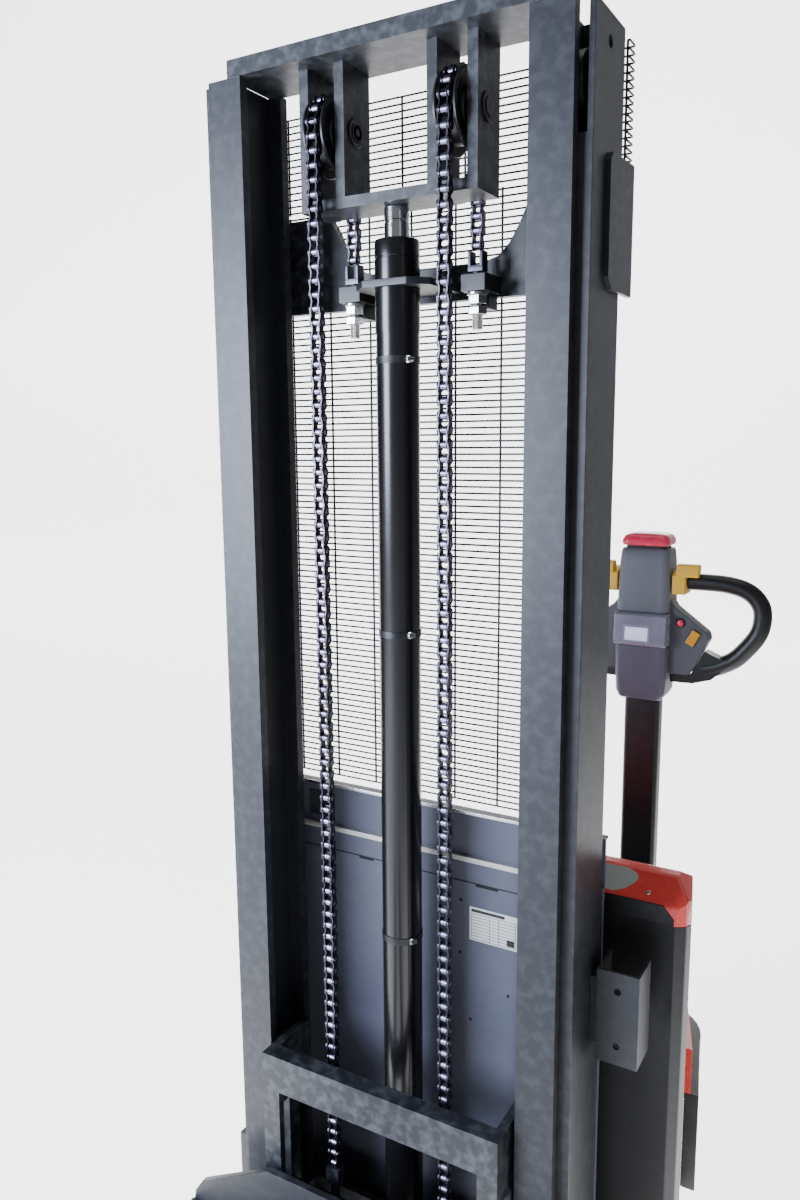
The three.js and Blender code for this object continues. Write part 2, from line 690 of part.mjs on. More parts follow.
function hydraulicPipe() {
  const x = -33;
  const y = CYL.y + 16;
  return tube([
    [x, y, CLAMP.z - 2], [x, y, 1200], [x, y, 600], [x, y, 250],
    [x, y, 120], [x, y, 94], [x, y + 6, 76], [x, y + 22, 69], [x, 133.6, 68],
  ], 4.5, 8, 90);
}

function mastHead() {
  const { bar: half, barTop, front, back, plate, inner, outer, floor } = HEAD;
  const top = box([-half, half], [0, 105], [MAST_TOP + GAP, barTop]);
  const base = box([-outer - plate, outer + plate], [front, back], [floor, floor + plate]);
  const cheeks = [inner, outer].map((x) => box([x, x + plate], [front, back], [floor, MAST_TOP + 2]));
  const axle = barX(AXLE_R, inner - 4, outer + plate + 4, SHEAVE.y, SHEAVE.z);
  const slot = box([CHAIN_X - 14, CHAIN_X + 14], [back - 6, back + 1], [floor - 1, floor + plate + 1]);
  return cut(
    join(top, base, ...cheeks, ...cheeks.map(mirrored), axle, mirrored(axle)),
    slot,
    mirrored(slot),
  );
}

function sheave(x) {
  const { y, z, pitch, flange, half, bore, groove } = SHEAVE;
  const floor = pitch - CHAIN.halfThick - 1.2;
  const section = [
    [-half, bore], [half, bore], [half, flange], [groove, flange], [groove, floor],
    [-groove, floor], [-groove, flange], [-half, flange],
  ].reverse();
  return wheelX(section, x, y, z, 28);
}

// The part of a chain on the inner mast: up the front to the sheave and over it.
function liftChain(x) {
  const { y, z, pitch } = SHEAVE;
  const inner = pitch - CHAIN.halfThick;
  const outer = pitch + CHAIN.halfThick;
  const steps = 16;
  const arc = (radius) => Array.from({ length: steps + 1 }, (unused, i) => {
    const angle = Math.PI * i / steps;
    return [y - radius * Math.cos(angle), z + radius * Math.sin(angle)];
  });
  const bottom = 305.5;
  const shape = outline([[y - outer, bottom], ...arc(outer), ...arc(inner).reverse(), [y - inner, bottom]]);
  return raiseX(shape, x - CHAIN.halfWidth, x + CHAIN.halfWidth);
}

// The part of a chain behind the sheave, down to its anchor on the outer mast.
function chainTail(x) {
  const y = SHEAVE.y + SHEAVE.pitch;
  return box(
    [x - CHAIN.halfWidth, x + CHAIN.halfWidth],
    [y - CHAIN.halfThick, y + CHAIN.halfThick],
    [1748, SHEAVE.z - GAP],
  );
}

function chainAnchor(x) {
  const y = SHEAVE.y + SHEAVE.pitch;
  return join(
    box([x - 19, x + 19], [y - 16, CROSS.front - GAP], [1692, 1716]),
    box([x - 14, x + 14], [y + 6, CROSS.front - GAP], [1670, 1700]),
    barZ(8, x, y, 1640, 1722, 12),
    barZ(13, x, y, 1648, 1674, 6),
    box([x - 12, x + 12], [y - 10, y + 10], [1720, 1747]),
  );
}

function innerLowerTie() {
  const half = INNER.half - INNER.flange - GAP;
  return box([-half, half], [97, 109], [MAST_BASE + 6, 180]);
}

// ---- carriage and forks -------------------------------------------------------------------------

function carriageFrame() {
  const { half, front, bar: thick, side, top, barHeight, stile, back } = CARRIAGE;
  const face = raiseY(
    outline(
      rectangle([-half, half], [MAST_BASE, top]),
      [rectangle([-half + stile, half - stile], [140, top - barHeight])],
    ),
    front,
    front + thick,
  );
  const plate = box([half - side, half], [front, back], [MAST_BASE, top]);
  const relief = raiseX(outline([[20, 0], [back + 1, 0], [back + 1, 104], [20, 92]]), 190, 220);
  const hollow = box([half - side - 1, half + 1], [-14, back + 1], [190, 395]);
  const cheek = cut(plate, relief, hollow);
  const spine = box([half - side, half], [14, 42], [180, 405]);
  const axles = [ROLLER.low, ROLLER.high].map((z) => barX(ROLLER.axle, half - side + 1, 238, ROLLER.y, z));
  const anchorBar = box([-half + 2, half - 2], [front + 2, 20], [214, 240]);
  const clevis = join(
    barZ(8, CHAIN_X, SHEAVE.y - SHEAVE.pitch, 230, 282, 12),
    box([CHAIN_X - 12, CHAIN_X + 12], [0, 20], [276, 305]),
  );
  return join(
    face,
    box([-half, half], [front, -8], [top - 8, top]),
    cheek,
    mirrored(cheek),
    spine,
    mirrored(spine),
    anchorBar,
    clevis,
    mirrored(clevis),
    ...axles,
    ...axles.map(mirrored),
  );
}

function forkPlate() {
  const shape = symmetric([
    [FORK.out, MAST_BASE], [FORK.out, 190], [338, 220], [322, 244], [297, 258], [180, 322],
  ]);
  const plate = raiseY(outline(shape), -72, -60);
  const block = box([150, 200], [-61, CARRIAGE.front - GAP], [MAST_BASE, 300]);
  return join(plate, block, mirrored(block));
}

function fork() {
  const { in: inside, out, top, skin, side, tip, heel } = FORK;
  const plan = outline([
    [inside, heel], [inside, tip + 60], [inside + 40, tip], [out - 40, tip], [out, tip + 60], [out, heel],
  ].reverse());
  const cavity = outline([
    [inside + skin, heel + 1], [inside + skin, tip + 62], [inside + 43, tip + skin], [out - 43, tip + skin],
    [out - skin, tip + 62], [out - skin, heel + 1],
  ].reverse());
  const channel = cut(raiseZ(plan, side, top), raiseZ(cavity, side - 1, top - skin));
  const under = outline([[tip - 1, side - 1], [tip + 80, side - 1], [tip - 1, top - 14]]);
  const ramp = raiseX(under, inside - 1, out + 1);
  const gusset = outline([[heel, top - 1], [heel, 205], [heel - 14, 205], [heel - 150, top - 1]].reverse());
  return join(
    cut(channel, ramp),
    raiseX(gusset, inside, inside + skin),
    raiseX(gusset, out - skin, out),
    box([inside, out], [heel - 12, heel], [top - skin, 205]),
  );
}

// ---- power --------------------------------------------------------------------------------------

function battery() {
  const { x, y, top, vent, first, pitch } = BATTERY;
  const vents = [];
  for (let i = 0; i < 6; i += 1) {
    for (let j = 0; j < 2; j += 1) {
      vents.push(barZ(vent, first[0] + i * pitch[0], first[1] + j * pitch[1], top - 5, top + 14, 10));
    }
  }
  return join(box(x, y, [TRAY.floor + GAP, top]), ...vents);
}

function pumpUnit() {
  const { x, y, tank, motor, top } = PUMP;
  const [middleX, middleY] = [x, y].map(([low, high]) => (low + high) / 2);
  return join(
    box(x, y, [TRAY.floor + GAP, tank]),
    barZ(motor, middleX, middleY, tank - 1, top, 20),
    box([middleX - 40, middleX + 40], [middleY + 30, middleY + 100], [tank - 1, tank + 60]),
  );
}

// ---- controls on the instrument panel -----------------------------------------------------------

function emergencyStop() {
  const stem = bar(STOP.stem, 0, 20, 16);
  const cap = bar(STOP.cap, 14, 28, 20, 15);
  return onPanel(join(stem, cap), STOP.x);
}

function keySwitch() {
  const barrel = bar(KEY.barrel, 5 + GAP, 10, 16);
  const blade = box([-2, 2], [-10, 10], [9, 30]);
  return onPanel(join(barrel, blade), KEY.x);
}

// ---- assembly -----------------------------------------------------------------------------------

add('chassis_frame', chassisFrame(), BLACK_PAINT);
addPair('support_leg', leg(), PAINT);
addPair('load_roller', loadRoller(), POLYURETHANE);
add('body_shell', bodyShell(), BLACK_PAINT);
add('bulkhead_panel', bulkheadPanel(), PAINT);
add('hood', hood(), RED);
add('instrument_panel', instrumentPanel(), PLASTIC);
add('emergency_stop', emergencyStop(), RED);
add('key_switch', keySwitch(), STEEL);
add('side_bracket', sideBracket(), PAINT);
add('battery', battery(), GREY_PLASTIC);
add('pump_unit', pumpUnit(), BLACK_PAINT);

add('drive_cover', driveCover(), RED);
add('castor_fork', castorFork(), STEEL);
add('castor_wheel', castorWheel(), POLYURETHANE);
add('drive_unit', driveUnit(), BLACK_PAINT);
add('drive_wheel', driveWheel(), POLYURETHANE);
add('tiller_yoke', tillerYoke(), BLACK_PAINT);
add('tiller_arm', tillerArm(), BLACK_PAINT);
add('tiller_head', tillerHead(), GREY_PLASTIC);
add('loop_handle_right', loopHandle(1), PLASTIC);
add('loop_handle_left', loopHandle(-1), PLASTIC);
add('butterfly', butterfly(), YELLOW);
add('belly_button', bellyButton(), RED);
add('horn_button', hornButton(), RED);
add('lift_rocker', liftRocker(), YELLOW);

addPair('outer_rail', outerRail(), PAINT);
add('upper_cross_member', upperCrossMember(), PAINT);
add('mesh_guard', meshGuard(), BLACK_PAINT);
add('lift_cylinder', liftCylinder(), BLACK_PAINT);
add('cylinder_clamp', cylinderClamp(), BLACK_PAINT);
add('hydraulic_pipe', hydraulicPipe(), BLACK_PAINT);
addPair('mast_roller_upper', rollerAt(270, UPPER_ROLLER), STEEL);

addPair('inner_rail', innerRail(), PAINT);
add('mast_head', mastHead(), PAINT);
add('inner_lower_tie', innerLowerTie(), PAINT);
add('piston_rod', barZ(ROD_R, 0, CYL.y, 300, HEAD.floor - GAP, 20), CHROME);
addPair('mast_roller_lower', rollerAt(270, LOWER_ROLLER), STEEL);
addPair('sheave', sheave(CHAIN_X), STEEL);
addPair('lift_chain', liftChain(CHAIN_X), STEEL);
addPair('chain_tail', chainTail(CHAIN_X), STEEL);
addPair('chain_anchor', chainAnchor(CHAIN_X), STEEL);

add('carriage_frame', carriageFrame(), PAINT);
for (const [level, z] of [['lower', ROLLER.low], ['upper', ROLLER.high]]) {
  addPair(`carriage_roller_${level}`, rollerAt(228, { ...ROLLER, z }), STEEL);
}
add('fork_plate', forkPlate(), PAINT);
addPair('fork', fork(), PAINT);

// The box's centre goes on the Z axis: the tiller's loop overhangs one side.
const centre = new THREE.Box3().setFromObject(truck, true).getCenter(new THREE.Vector3());
truck.position.set(-centre.x, -centre.y, 0);

export default truck;
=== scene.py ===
# Walkie stacker: studio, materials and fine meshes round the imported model.
import json
import math

import bmesh
import bpy
from mathutils import Matrix, Vector


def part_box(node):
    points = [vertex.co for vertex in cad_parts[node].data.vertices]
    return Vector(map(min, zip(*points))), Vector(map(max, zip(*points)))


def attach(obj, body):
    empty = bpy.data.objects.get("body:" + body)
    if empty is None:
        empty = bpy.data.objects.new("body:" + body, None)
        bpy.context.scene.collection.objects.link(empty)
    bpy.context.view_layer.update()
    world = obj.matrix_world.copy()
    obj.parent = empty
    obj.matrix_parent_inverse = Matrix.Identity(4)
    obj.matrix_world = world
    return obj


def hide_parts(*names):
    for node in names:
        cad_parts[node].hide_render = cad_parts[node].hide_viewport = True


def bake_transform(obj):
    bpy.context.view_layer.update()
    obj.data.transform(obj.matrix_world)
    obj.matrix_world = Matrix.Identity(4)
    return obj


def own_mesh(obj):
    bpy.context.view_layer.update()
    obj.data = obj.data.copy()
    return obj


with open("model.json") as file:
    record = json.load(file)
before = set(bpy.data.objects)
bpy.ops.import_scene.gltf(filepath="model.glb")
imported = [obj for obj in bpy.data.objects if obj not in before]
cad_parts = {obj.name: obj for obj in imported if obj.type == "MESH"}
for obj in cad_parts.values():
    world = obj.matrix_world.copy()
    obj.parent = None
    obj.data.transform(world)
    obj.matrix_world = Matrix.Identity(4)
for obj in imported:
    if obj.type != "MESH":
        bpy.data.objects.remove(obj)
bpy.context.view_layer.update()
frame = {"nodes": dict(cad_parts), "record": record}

# ---- the truck's own axes: millimetres from its centre plane and the front of its inner mast -----

MM = 0.001
MID_X = sum(corner[0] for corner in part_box("piston_rod")) / 2
MAST_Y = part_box("inner_rail_right")[0][1]
TRUCK = Matrix.Translation((MID_X, MAST_Y, 0)) @ Matrix.Scale(MM, 4)


def at(x, y, z):
    """A point in the truck's millimetres, as a point in the frame's metres."""
    return TRUCK @ Vector((x, y, z))


def span(*nodes):
    """Lowest and highest corner of some CAD nodes, in the truck's millimetres."""
    boxes = [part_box(node) for node in nodes]
    low = Vector([min(box[0][i] for box in boxes) for i in range(3)])
    high = Vector([max(box[1][i] for box in boxes) for i in range(3)])
    return TRUCK.inverted() @ low, TRUCK.inverted() @ high


# ---- camera, floor and lights ---------------------------------------------------------------------

CAMERA_SPOT, CAMERA_LENS = (697, -1141, 1483.6), 28.44
CAMERA_YAW, CAMERA_DOWN, CAMERA_ROLL = 30.08, 9.37, -0.45


def make_camera():
    data = bpy.data.cameras.new("camera")
    data.lens = CAMERA_LENS
    data.sensor_width = 36
    data.clip_end = 60
    camera = bpy.data.objects.new("camera", data)
    bpy.context.scene.collection.objects.link(camera)
    camera.location = at(*CAMERA_SPOT)
    turn = Matrix.Rotation(math.radians(CAMERA_YAW), 4, "Z")
    pitch = Matrix.Rotation(math.radians(90 - CAMERA_DOWN), 4, "X")
    roll = Matrix.Rotation(math.radians(CAMERA_ROLL), 4, "Z")
    camera.rotation_euler = (turn @ pitch @ roll).to_euler()
    bpy.context.scene.camera = camera


def make_light(name, place, aim, size, power, colour=(1, 1, 1)):
    data = bpy.data.lights.new(name, "AREA")
    data.shape = "RECTANGLE"
    data.size, data.size_y = size
    data.energy = power
    data.color = colour
    light = bpy.data.objects.new(name, data)
    bpy.context.scene.collection.objects.link(light)
    light.location = place
    light.rotation_euler = (Vector(aim) - Vector(place)).to_track_quat("-Z", "Y").to_euler()


def make_world():
    world = bpy.data.worlds.new("studio")
    world.use_nodes = True
    background = world.node_tree.nodes["Background"]
    background.inputs["Color"].default_value = (0.95, 0.97, 1.0, 1)
    background.inputs["Strength"].default_value = 0.20
    bpy.context.scene.world = world


def make_floor():
    """Studio paper in metres: a floor that bends up into a wall behind the truck."""
    half, rise, back, bend = 14, 9, 9, 3
    profile = [(-half, 0), (back - bend, 0)]
    for i in range(1, 13):
        angle = math.pi / 2 * i / 12
        profile.append((back - bend + bend * math.sin(angle), bend - bend * math.cos(angle)))
    profile.append((back, rise))
    bm = bmesh.new()
    rows = [[bm.verts.new((x, y, z)) for x in (-half, half)] for y, z in profile]
    for (a, b), (c, d) in zip(rows, rows[1:]):
        bm.faces.new((a, b, d, c))
    for face in bm.faces:
        face.smooth = True
    mesh = bpy.data.meshes.new("floor")
    bm.to_mesh(mesh)
    bm.free()
    floor = bpy.data.objects.new("floor", mesh)
    bpy.context.scene.collection.objects.link(floor)
    mesh.materials.append(make_paper())


def make_paper():
    """The paper glows behind and left of the truck and falls off to the right and in front of it."""
    paper = bpy.data.materials.new("studio_floor")
    paper.use_nodes = True
    shader = paper.node_tree.nodes["Principled BSDF"]
    shader.inputs["Base Color"].default_value = (0.9, 0.9, 0.9, 1)
    shader.inputs["Roughness"].default_value = 0.8
    shader.inputs["Emission Color"].default_value = (1, 1, 1, 1)
    nodes, links = paper.node_tree.nodes, paper.node_tree.links
    place = nodes.new("ShaderNodeTexCoord").outputs["Object"]

    def falloff(direction, start, end, low, high):
        along = nodes.new("ShaderNodeVectorMath")
        along.operation = "DOT_PRODUCT"
        along.inputs[1].default_value = direction
        ramp = nodes.new("ShaderNodeMapRange")
        ramp.interpolation_type = "SMOOTHSTEP"
        for socket, value in zip(("From Min", "From Max", "To Min", "To Max"), (start, end, low, high)):
            ramp.inputs[socket].default_value = value
        links.new(place, along.inputs[0])
        links.new(along.outputs["Value"], ramp.inputs["Value"])
        return ramp.outputs["Result"]

    glow = nodes.new("ShaderNodeMath")
    glow.operation = "MULTIPLY"
    links.new(falloff((0.992, 0.124, 0), 0.6, 1.9, 3.2, 0.04), glow.inputs[0])
    links.new(falloff((0, 1, 0), -1.3, 0.2, 0.05, 1.0), glow.inputs[1])
    links.new(glow.outputs["Value"], shader.inputs["Emission Strength"])
    return paper


def make_lights():
    make_light("key", (-2.0, -2.55, 1.55), (-0.05, 0.24, 1.3), (1.6, 1.7), 300, (0.74, 0.82, 1.0))
    make_light("fill", (2.9, -1.2, 2.4), (0.3, 0.5, 1.0), (0.8, 1.6), 3, (1.0, 0.98, 0.95))
    make_light("top", (0.2, 0.6, 3.9), (0.0, 0.3, 1.0), (1.6, 1.6), 12)


# ---- materials ------------------------------------------------------------------------------------

def surface(name, colour, rough, metal=0.0, grain=900, bump=0.05, mottle=0.08, streak=0.0,
            wear=0.0, wear_colour=(0.55, 0.56, 0.58), coat=0.0, dust=0.0, spread=0.04):
    """A finish with colour mottle, varied roughness, a fine grain in relief and worn edges."""
    look = bpy.data.materials.new(name)
    look.use_nodes = True
    nodes = look.node_tree.nodes
    links = look.node_tree.links
    shader = nodes["Principled BSDF"]
    shader.inputs["Metallic"].default_value = metal
    shader.inputs["Coat Weight"].default_value = coat
    shader.inputs["Coat Roughness"].default_value = 0.12
    coordinates = nodes.new("ShaderNodeTexCoord").outputs["Object"]

    def noise(scale, detail, stretch=(1, 1, 1)):
        vector = coordinates
        if stretch != (1, 1, 1):
            mapping = nodes.new("ShaderNodeMapping")
            mapping.inputs["Scale"].default_value = stretch
            links.new(coordinates, mapping.inputs["Vector"])
            vector = mapping.outputs["Vector"]
        texture = nodes.new("ShaderNodeTexNoise")
        texture.inputs["Scale"].default_value = scale
        texture.inputs["Detail"].default_value = detail
        links.new(vector, texture.inputs["Vector"])
        return texture.outputs["Fac"]

    def ranged(value, low, high, start=0.3, end=0.7):
        scale = nodes.new("ShaderNodeMapRange")
        scale.inputs["From Min"].default_value = start
        scale.inputs["From Max"].default_value = end
        scale.inputs["To Min"].default_value = low
        scale.inputs["To Max"].default_value = high
        links.new(value, scale.inputs["Value"])
        return scale.outputs["Result"]

    def mixed(factor, first, second):
        mix = nodes.new("ShaderNodeMix")
        mix.data_type = "RGBA"
        links.new(factor, mix.inputs["Factor"])
        for socket, value in (("A", first), ("B", second)):
            target = [s for s in mix.inputs if s.name == socket and s.type == "RGBA"][0]
            if isinstance(value, tuple):
                target.default_value = (*value, 1)
            else:
                links.new(value, target)
        return [s for s in mix.outputs if s.type == "RGBA"][0]

    dark = tuple(c * (1 - mottle * 2) for c in colour)
    light = tuple(min(1, c * (1 + mottle * 2)) for c in colour)
    tone = mixed(ranged(noise(7, 6), 0, 1), dark, light)
    speck = mixed(ranged(noise(160, 3), 0, 0.5, 0.55, 0.75), tone, light)
    roughness = ranged(noise(22, 5), rough - spread, rough + spread)
    if streak:
        brushed = noise(240, 2, (1, 1, 0.04))
        speck = mixed(ranged(brushed, 0, streak), speck, dark)
    if dust:
        settled = ranged(noise(14, 8), 0, dust, 0.48, 0.72)
        speck = mixed(settled, speck, (0.32, 0.31, 0.29))
    if wear:
        geometry = nodes.new("ShaderNodeNewGeometry").outputs["Pointiness"]
        edge = ranged(geometry, 0, 1, 0.53, 0.62)
        broken = nodes.new("ShaderNodeMath")
        broken.operation = "MULTIPLY"
        links.new(edge, broken.inputs[0])
        links.new(ranged(noise(55, 7), 0, wear, 0.45, 0.66), broken.inputs[1])
        speck = mixed(broken.outputs["Value"], speck, wear_colour)
    links.new(speck, shader.inputs["Base Color"])
    links.new(roughness, shader.inputs["Roughness"])
    relief = nodes.new("ShaderNodeBump")
    relief.inputs["Strength"].default_value = bump
    relief.inputs["Distance"].default_value = 0.0006
    links.new(noise(grain, 3), relief.inputs["Height"])
    links.new(relief.outputs["Normal"], shader.inputs["Normal"])
    return look


LOOKS = {
    "charcoal": surface("charcoal_powder_coat", (0.016, 0.018, 0.024), 0.42, grain=650, bump=0.05,
                        mottle=0.015, wear=0.35, wear_colour=(0.16, 0.17, 0.19), dust=0.001, spread=0.002),
    "black": surface("black_powder_coat", (0.007, 0.007, 0.009), 0.40, grain=800, bump=0.05,
                     mottle=0.03, wear=0.3, wear_colour=(0.09, 0.09, 0.10), dust=0.002, spread=0.004),
    "panel_paint": surface("bulkhead_powder_coat", (0.088, 0.094, 0.132), 0.46, grain=420, bump=0.07,
                           mottle=0.03, wear=0.3, wear_colour=(0.16, 0.17, 0.19), dust=0.004, spread=0.006),
    "ram": surface("black_ram_enamel", (0.005, 0.005, 0.006), 0.26, grain=300, bump=0.06,
                   mottle=0.06, coat=0.15, dust=0.003, spread=0.015),
    "black_plastic": surface("black_grained_plastic", (0.020, 0.020, 0.022), 0.48, grain=1500,
                             bump=0.30, mottle=0.1, dust=0.03),
    "grip": surface("grip_rubber", (0.006, 0.006, 0.007), 0.40, grain=1900, bump=0.08, mottle=0.06,
                    spread=0.02),
    "grey_plastic": surface("grey_head_plastic", (0.150, 0.162, 0.190), 0.44, grain=1700, bump=0.22,
                            mottle=0.05),
    "dark_grey_plastic": surface("grey_wing_plastic", (0.085, 0.092, 0.105), 0.46, grain=1700,
                                 bump=0.22, mottle=0.05),
    "mauve_plastic": surface("mauve_head_plastic", (0.105, 0.098, 0.138), 0.42, grain=1700, bump=0.2,
                             mottle=0.04),
    "bezel": surface("display_bezel", (0.24, 0.24, 0.31), 0.28, grain=1200, bump=0.08, mottle=0.04),
    "glass": surface("display_glass", (0.35, 0.37, 0.50), 0.12, grain=900, bump=0.02, mottle=0.05,
                     coat=0.5),
    "red": surface("red_hood_plastic", (0.98, 0.072, 0.058), 0.28, grain=1100, bump=0.10,
                   mottle=0.05, coat=0.25),
    "red_cap": surface("red_button_plastic", (1.0, 0.045, 0.115), 0.26, grain=900, bump=0.05,
                       mottle=0.05, coat=0.4),
    "yellow": surface("yellow_throttle_plastic", (0.92, 0.52, 0.030), 0.38, grain=1300, bump=0.16,
                      mottle=0.05),
    "amber": surface("amber_rocker_plastic", (0.80, 0.36, 0.010), 0.34, grain=1300, bump=0.1,
                     mottle=0.06),
    "insert": surface("pale_hood_insert", (0.46, 0.49, 0.46), 0.4, grain=1400, bump=0.16,
                      mottle=0.05, dust=0.05),
    "chrome": surface("hard_chrome", (0.72, 0.72, 0.75), 0.11, metal=1.0, grain=2500, bump=0.015,
                      mottle=0.04, streak=0.1),
    "chain": surface("oiled_chain_steel", (0.24, 0.22, 0.30), 0.34, metal=1.0, grain=1800, bump=0.05,
                     mottle=0.15, coat=0.1),
    "chain_plate": surface("blued_chain_plate", (0.050, 0.048, 0.064), 0.33, metal=1.0, grain=1800,
                           bump=0.1, mottle=0.15, coat=0.15),
    "steel": surface("turned_steel", (0.42, 0.42, 0.44), 0.30, metal=1.0, grain=1500, bump=0.06,
                     mottle=0.12, streak=0.3),
    "zinc": surface("zinc_plate", (0.66, 0.66, 0.64), 0.27, metal=1.0, grain=900, bump=0.06,
                    mottle=0.12),
    "tyre": surface("polyurethane_tread", (0.085, 0.050, 0.034), 0.52, grain=1100, bump=0.15,
                    mottle=0.18, dust=0.25),
    "battery": surface("battery_case", (0.07, 0.07, 0.075), 0.5, grain=1200, bump=0.2, mottle=0.1),
    "label": surface("printed_plate", (0.72, 0.72, 0.70), 0.34, metal=0.35, grain=1500, bump=0.04,
                     mottle=0.04),
    # Pale grey painted highlight with some dust: the bulkhead strip is coloured as if lit from above on its
    # top face.
    "painted_highlight_strip": surface("strip_painted_highlight", (0.62, 0.60, 0.55), 0.42, metal=0.35, grain=700, bump=0.12,
                         mottle=0.12, dust=0.2),
    # Near-black painted shade, laid on flat faces where seams, slots and holes would be dark.
    "shadow": surface("recess_painted_shade", (0.004, 0.004, 0.005), 0.8, grain=700, bump=0.1, mottle=0.1),
    "ink": surface("plate_ink", (0.015, 0.015, 0.017), 0.4, grain=1500, bump=0.03),
}


def screen_look():
    look = bpy.data.materials.new("lit_display")
    look.use_nodes = True
    nodes = look.node_tree.nodes
    shader = nodes["Principled BSDF"]
    shader.inputs["Roughness"].default_value = 0.12
    shader.inputs["Emission Strength"].default_value = 0.55
    wave = nodes.new("ShaderNodeTexNoise")
    wave.inputs["Scale"].default_value = 60
    ramp = nodes.new("ShaderNodeValToRGB")
    ramp.color_ramp.elements[0].color = (0.45, 0.55, 0.95, 1)
    ramp.color_ramp.elements[1].color = (0.92, 0.92, 1.0, 1)
    coordinates = nodes.new("ShaderNodeTexCoord")
    links = look.node_tree.links
    links.new(coordinates.outputs["Object"], wave.inputs["Vector"])
    links.new(wave.outputs["Fac"], ramp.inputs["Fac"])
    links.new(ramp.outputs["Color"], shader.inputs["Base Color"])
    links.new(ramp.outputs["Color"], shader.inputs["Emission Color"])
    return look


LOOKS["screen"] = screen_look()

# ---- mesh tools, all in the truck's millimetres ---------------------------------------------------

X_AXIS, Y_AXIS, Z_AXIS = Vector((1, 0, 0)), Vector((0, 1, 0)), Vector((0, 0, 1))


def slab(bm, low, high):
    """A box between two corners."""
    size = Vector(high) - Vector(low)
    matrix = Matrix.Translation((Vector(low) + Vector(high)) / 2) @ Matrix.Diagonal((*size, 1))
    return bmesh.ops.create_cube(bm, size=1, matrix=matrix)["verts"]


def prism(bm, outline, axis, low, high):
    """An outline raised along an axis: pairs are (y, z) along X, (x, z) along Y and (x, y) along Z."""
    spot = {"X": lambda a, b, c: (c, a, b), "Y": lambda a, b, c: (a, c, b),
            "Z": lambda a, b, c: (a, b, c)}[axis]
    ends = [[bm.verts.new(spot(a, b, level)) for a, b in outline] for level in (low, high)]
    faces = [bm.faces.new(ends[0]), bm.faces.new(reversed(ends[1]))]
    for i in range(len(outline)):
        j = (i + 1) % len(outline)
        faces.append(bm.faces.new((ends[0][i], ends[1][i], ends[1][j], ends[0][j])))
    bmesh.ops.recalc_face_normals(bm, faces=faces)
    return ends[0] + ends[1]


def lathe(bm, profile, centre, axis=X_AXIS, sides=64, closed=False):
    """A turned shape: (distance along the axis, radius) pairs. A closed profile makes a ring."""
    turn = Z_AXIS.rotation_difference(axis)
    rings = []
    for along, radius in profile:
        if radius < 1e-6:
            rings.append([bm.verts.new(Vector(centre) + turn @ Vector((0, 0, along)))])
            continue
        ring = []
        for i in range(sides):
            angle = 2 * math.pi * i / sides
            spot = Vector((radius * math.cos(angle), radius * math.sin(angle), along))
            ring.append(bm.verts.new(Vector(centre) + turn @ spot))
        rings.append(ring)
    pairs = list(zip(rings, rings[1:])) + ([(rings[-1], rings[0])] if closed else [])
    faces = []
    for a, b in pairs:
        for i in range(sides):
            j = (i + 1) % sides
            corners = []
            for vert in (a[i % len(a)], a[j % len(a)], b[j % len(b)], b[i % len(b)]):
                if vert not in corners:
                    corners.append(vert)
            faces.append(bm.faces.new(corners))
    bmesh.ops.recalc_face_normals(bm, faces=faces)
    return faces


def both_ways(half):
    """A profile that is the same on both sides of its middle, from its first half."""
    return half + [(-along, radius) for along, radius in reversed(half)]


def smooth_path(points, steps):
    """Catmull-Rom points through a list of points."""
    points = [Vector(p) for p in points]
    padded = [2 * points[0] - points[1], *points, 2 * points[-1] - points[-2]]
    path = []
    for a, b, c, d in zip(padded, padded[1:], padded[2:], padded[3:]):
        for i in range(steps):
            t = i / steps
            path.append(0.5 * (2 * b + (c - a) * t + (2 * a - 5 * b + 4 * c - d) * t * t
                               + (3 * b - a - 3 * c + d) * t ** 3))
    path.append(points[-1])
    return path


def sweep(bm, path, section, sides=16, caps=True):
    """A tube along a path; section(share) gives its half-width and half-depth there."""
    side = None
    rings = []
    for i, spot in enumerate(path):
        ahead = path[min(i + 1, len(path) - 1)] - path[max(i - 1, 0)]
        ahead.normalize()
        if side is None:
            side = ahead.orthogonal().normalized() if abs(ahead.dot(Y_AXIS)) > 0.95 else Y_AXIS.copy()
        side = (side - ahead * side.dot(ahead)).normalized()
        up = ahead.cross(side)
        wide, deep = section(i / (len(path) - 1))
        ring = []
        for k in range(sides):
            angle = 2 * math.pi * k / sides
            ring.append(bm.verts.new(spot + up * wide * math.cos(angle) + side * deep * math.sin(angle)))
        rings.append(ring)
    faces = []
    for a, b in zip(rings, rings[1:]):
        for k in range(sides):
            j = (k + 1) % sides
            faces.append(bm.faces.new((a[k], a[j], b[j], b[k])))
    if caps:
        faces.append(bm.faces.new(reversed(rings[0])))
        faces.append(bm.faces.new(rings[-1]))
    bmesh.ops.recalc_face_normals(bm, faces=faces)
    return faces


def ease_edges(bm, width, limit=30):
    """Rounds every edge sharper than the limit."""
    sharp = [e for e in bm.edges if len(e.link_faces) == 2 and e.calc_face_angle(0) > math.radians(limit)]
    if sharp and width:
        bmesh.ops.bevel(bm, geom=sharp, offset=width, segments=2, profile=0.6, affect="EDGES",
                        clamp_overlap=True)


def as_piece(name, bm, look, sharp):
    """Turns a mesh in the truck's millimetres into an object, shaded smooth but for sharp edges."""
    bmesh.ops.transform(bm, matrix=TRUCK, verts=bm.verts)
    for face in bm.faces:
        face.smooth = True
    for edge in bm.edges:
        edge.smooth = len(edge.link_faces) != 2 or edge.calc_face_angle(0) < math.radians(sharp)
    mesh = bpy.data.meshes.new(name)
    bm.to_mesh(mesh)
    bm.free()
    piece = bpy.data.objects.new(name, mesh)
    bpy.context.scene.collection.objects.link(piece)
    mesh.materials.append(LOOKS[look])
    return piece


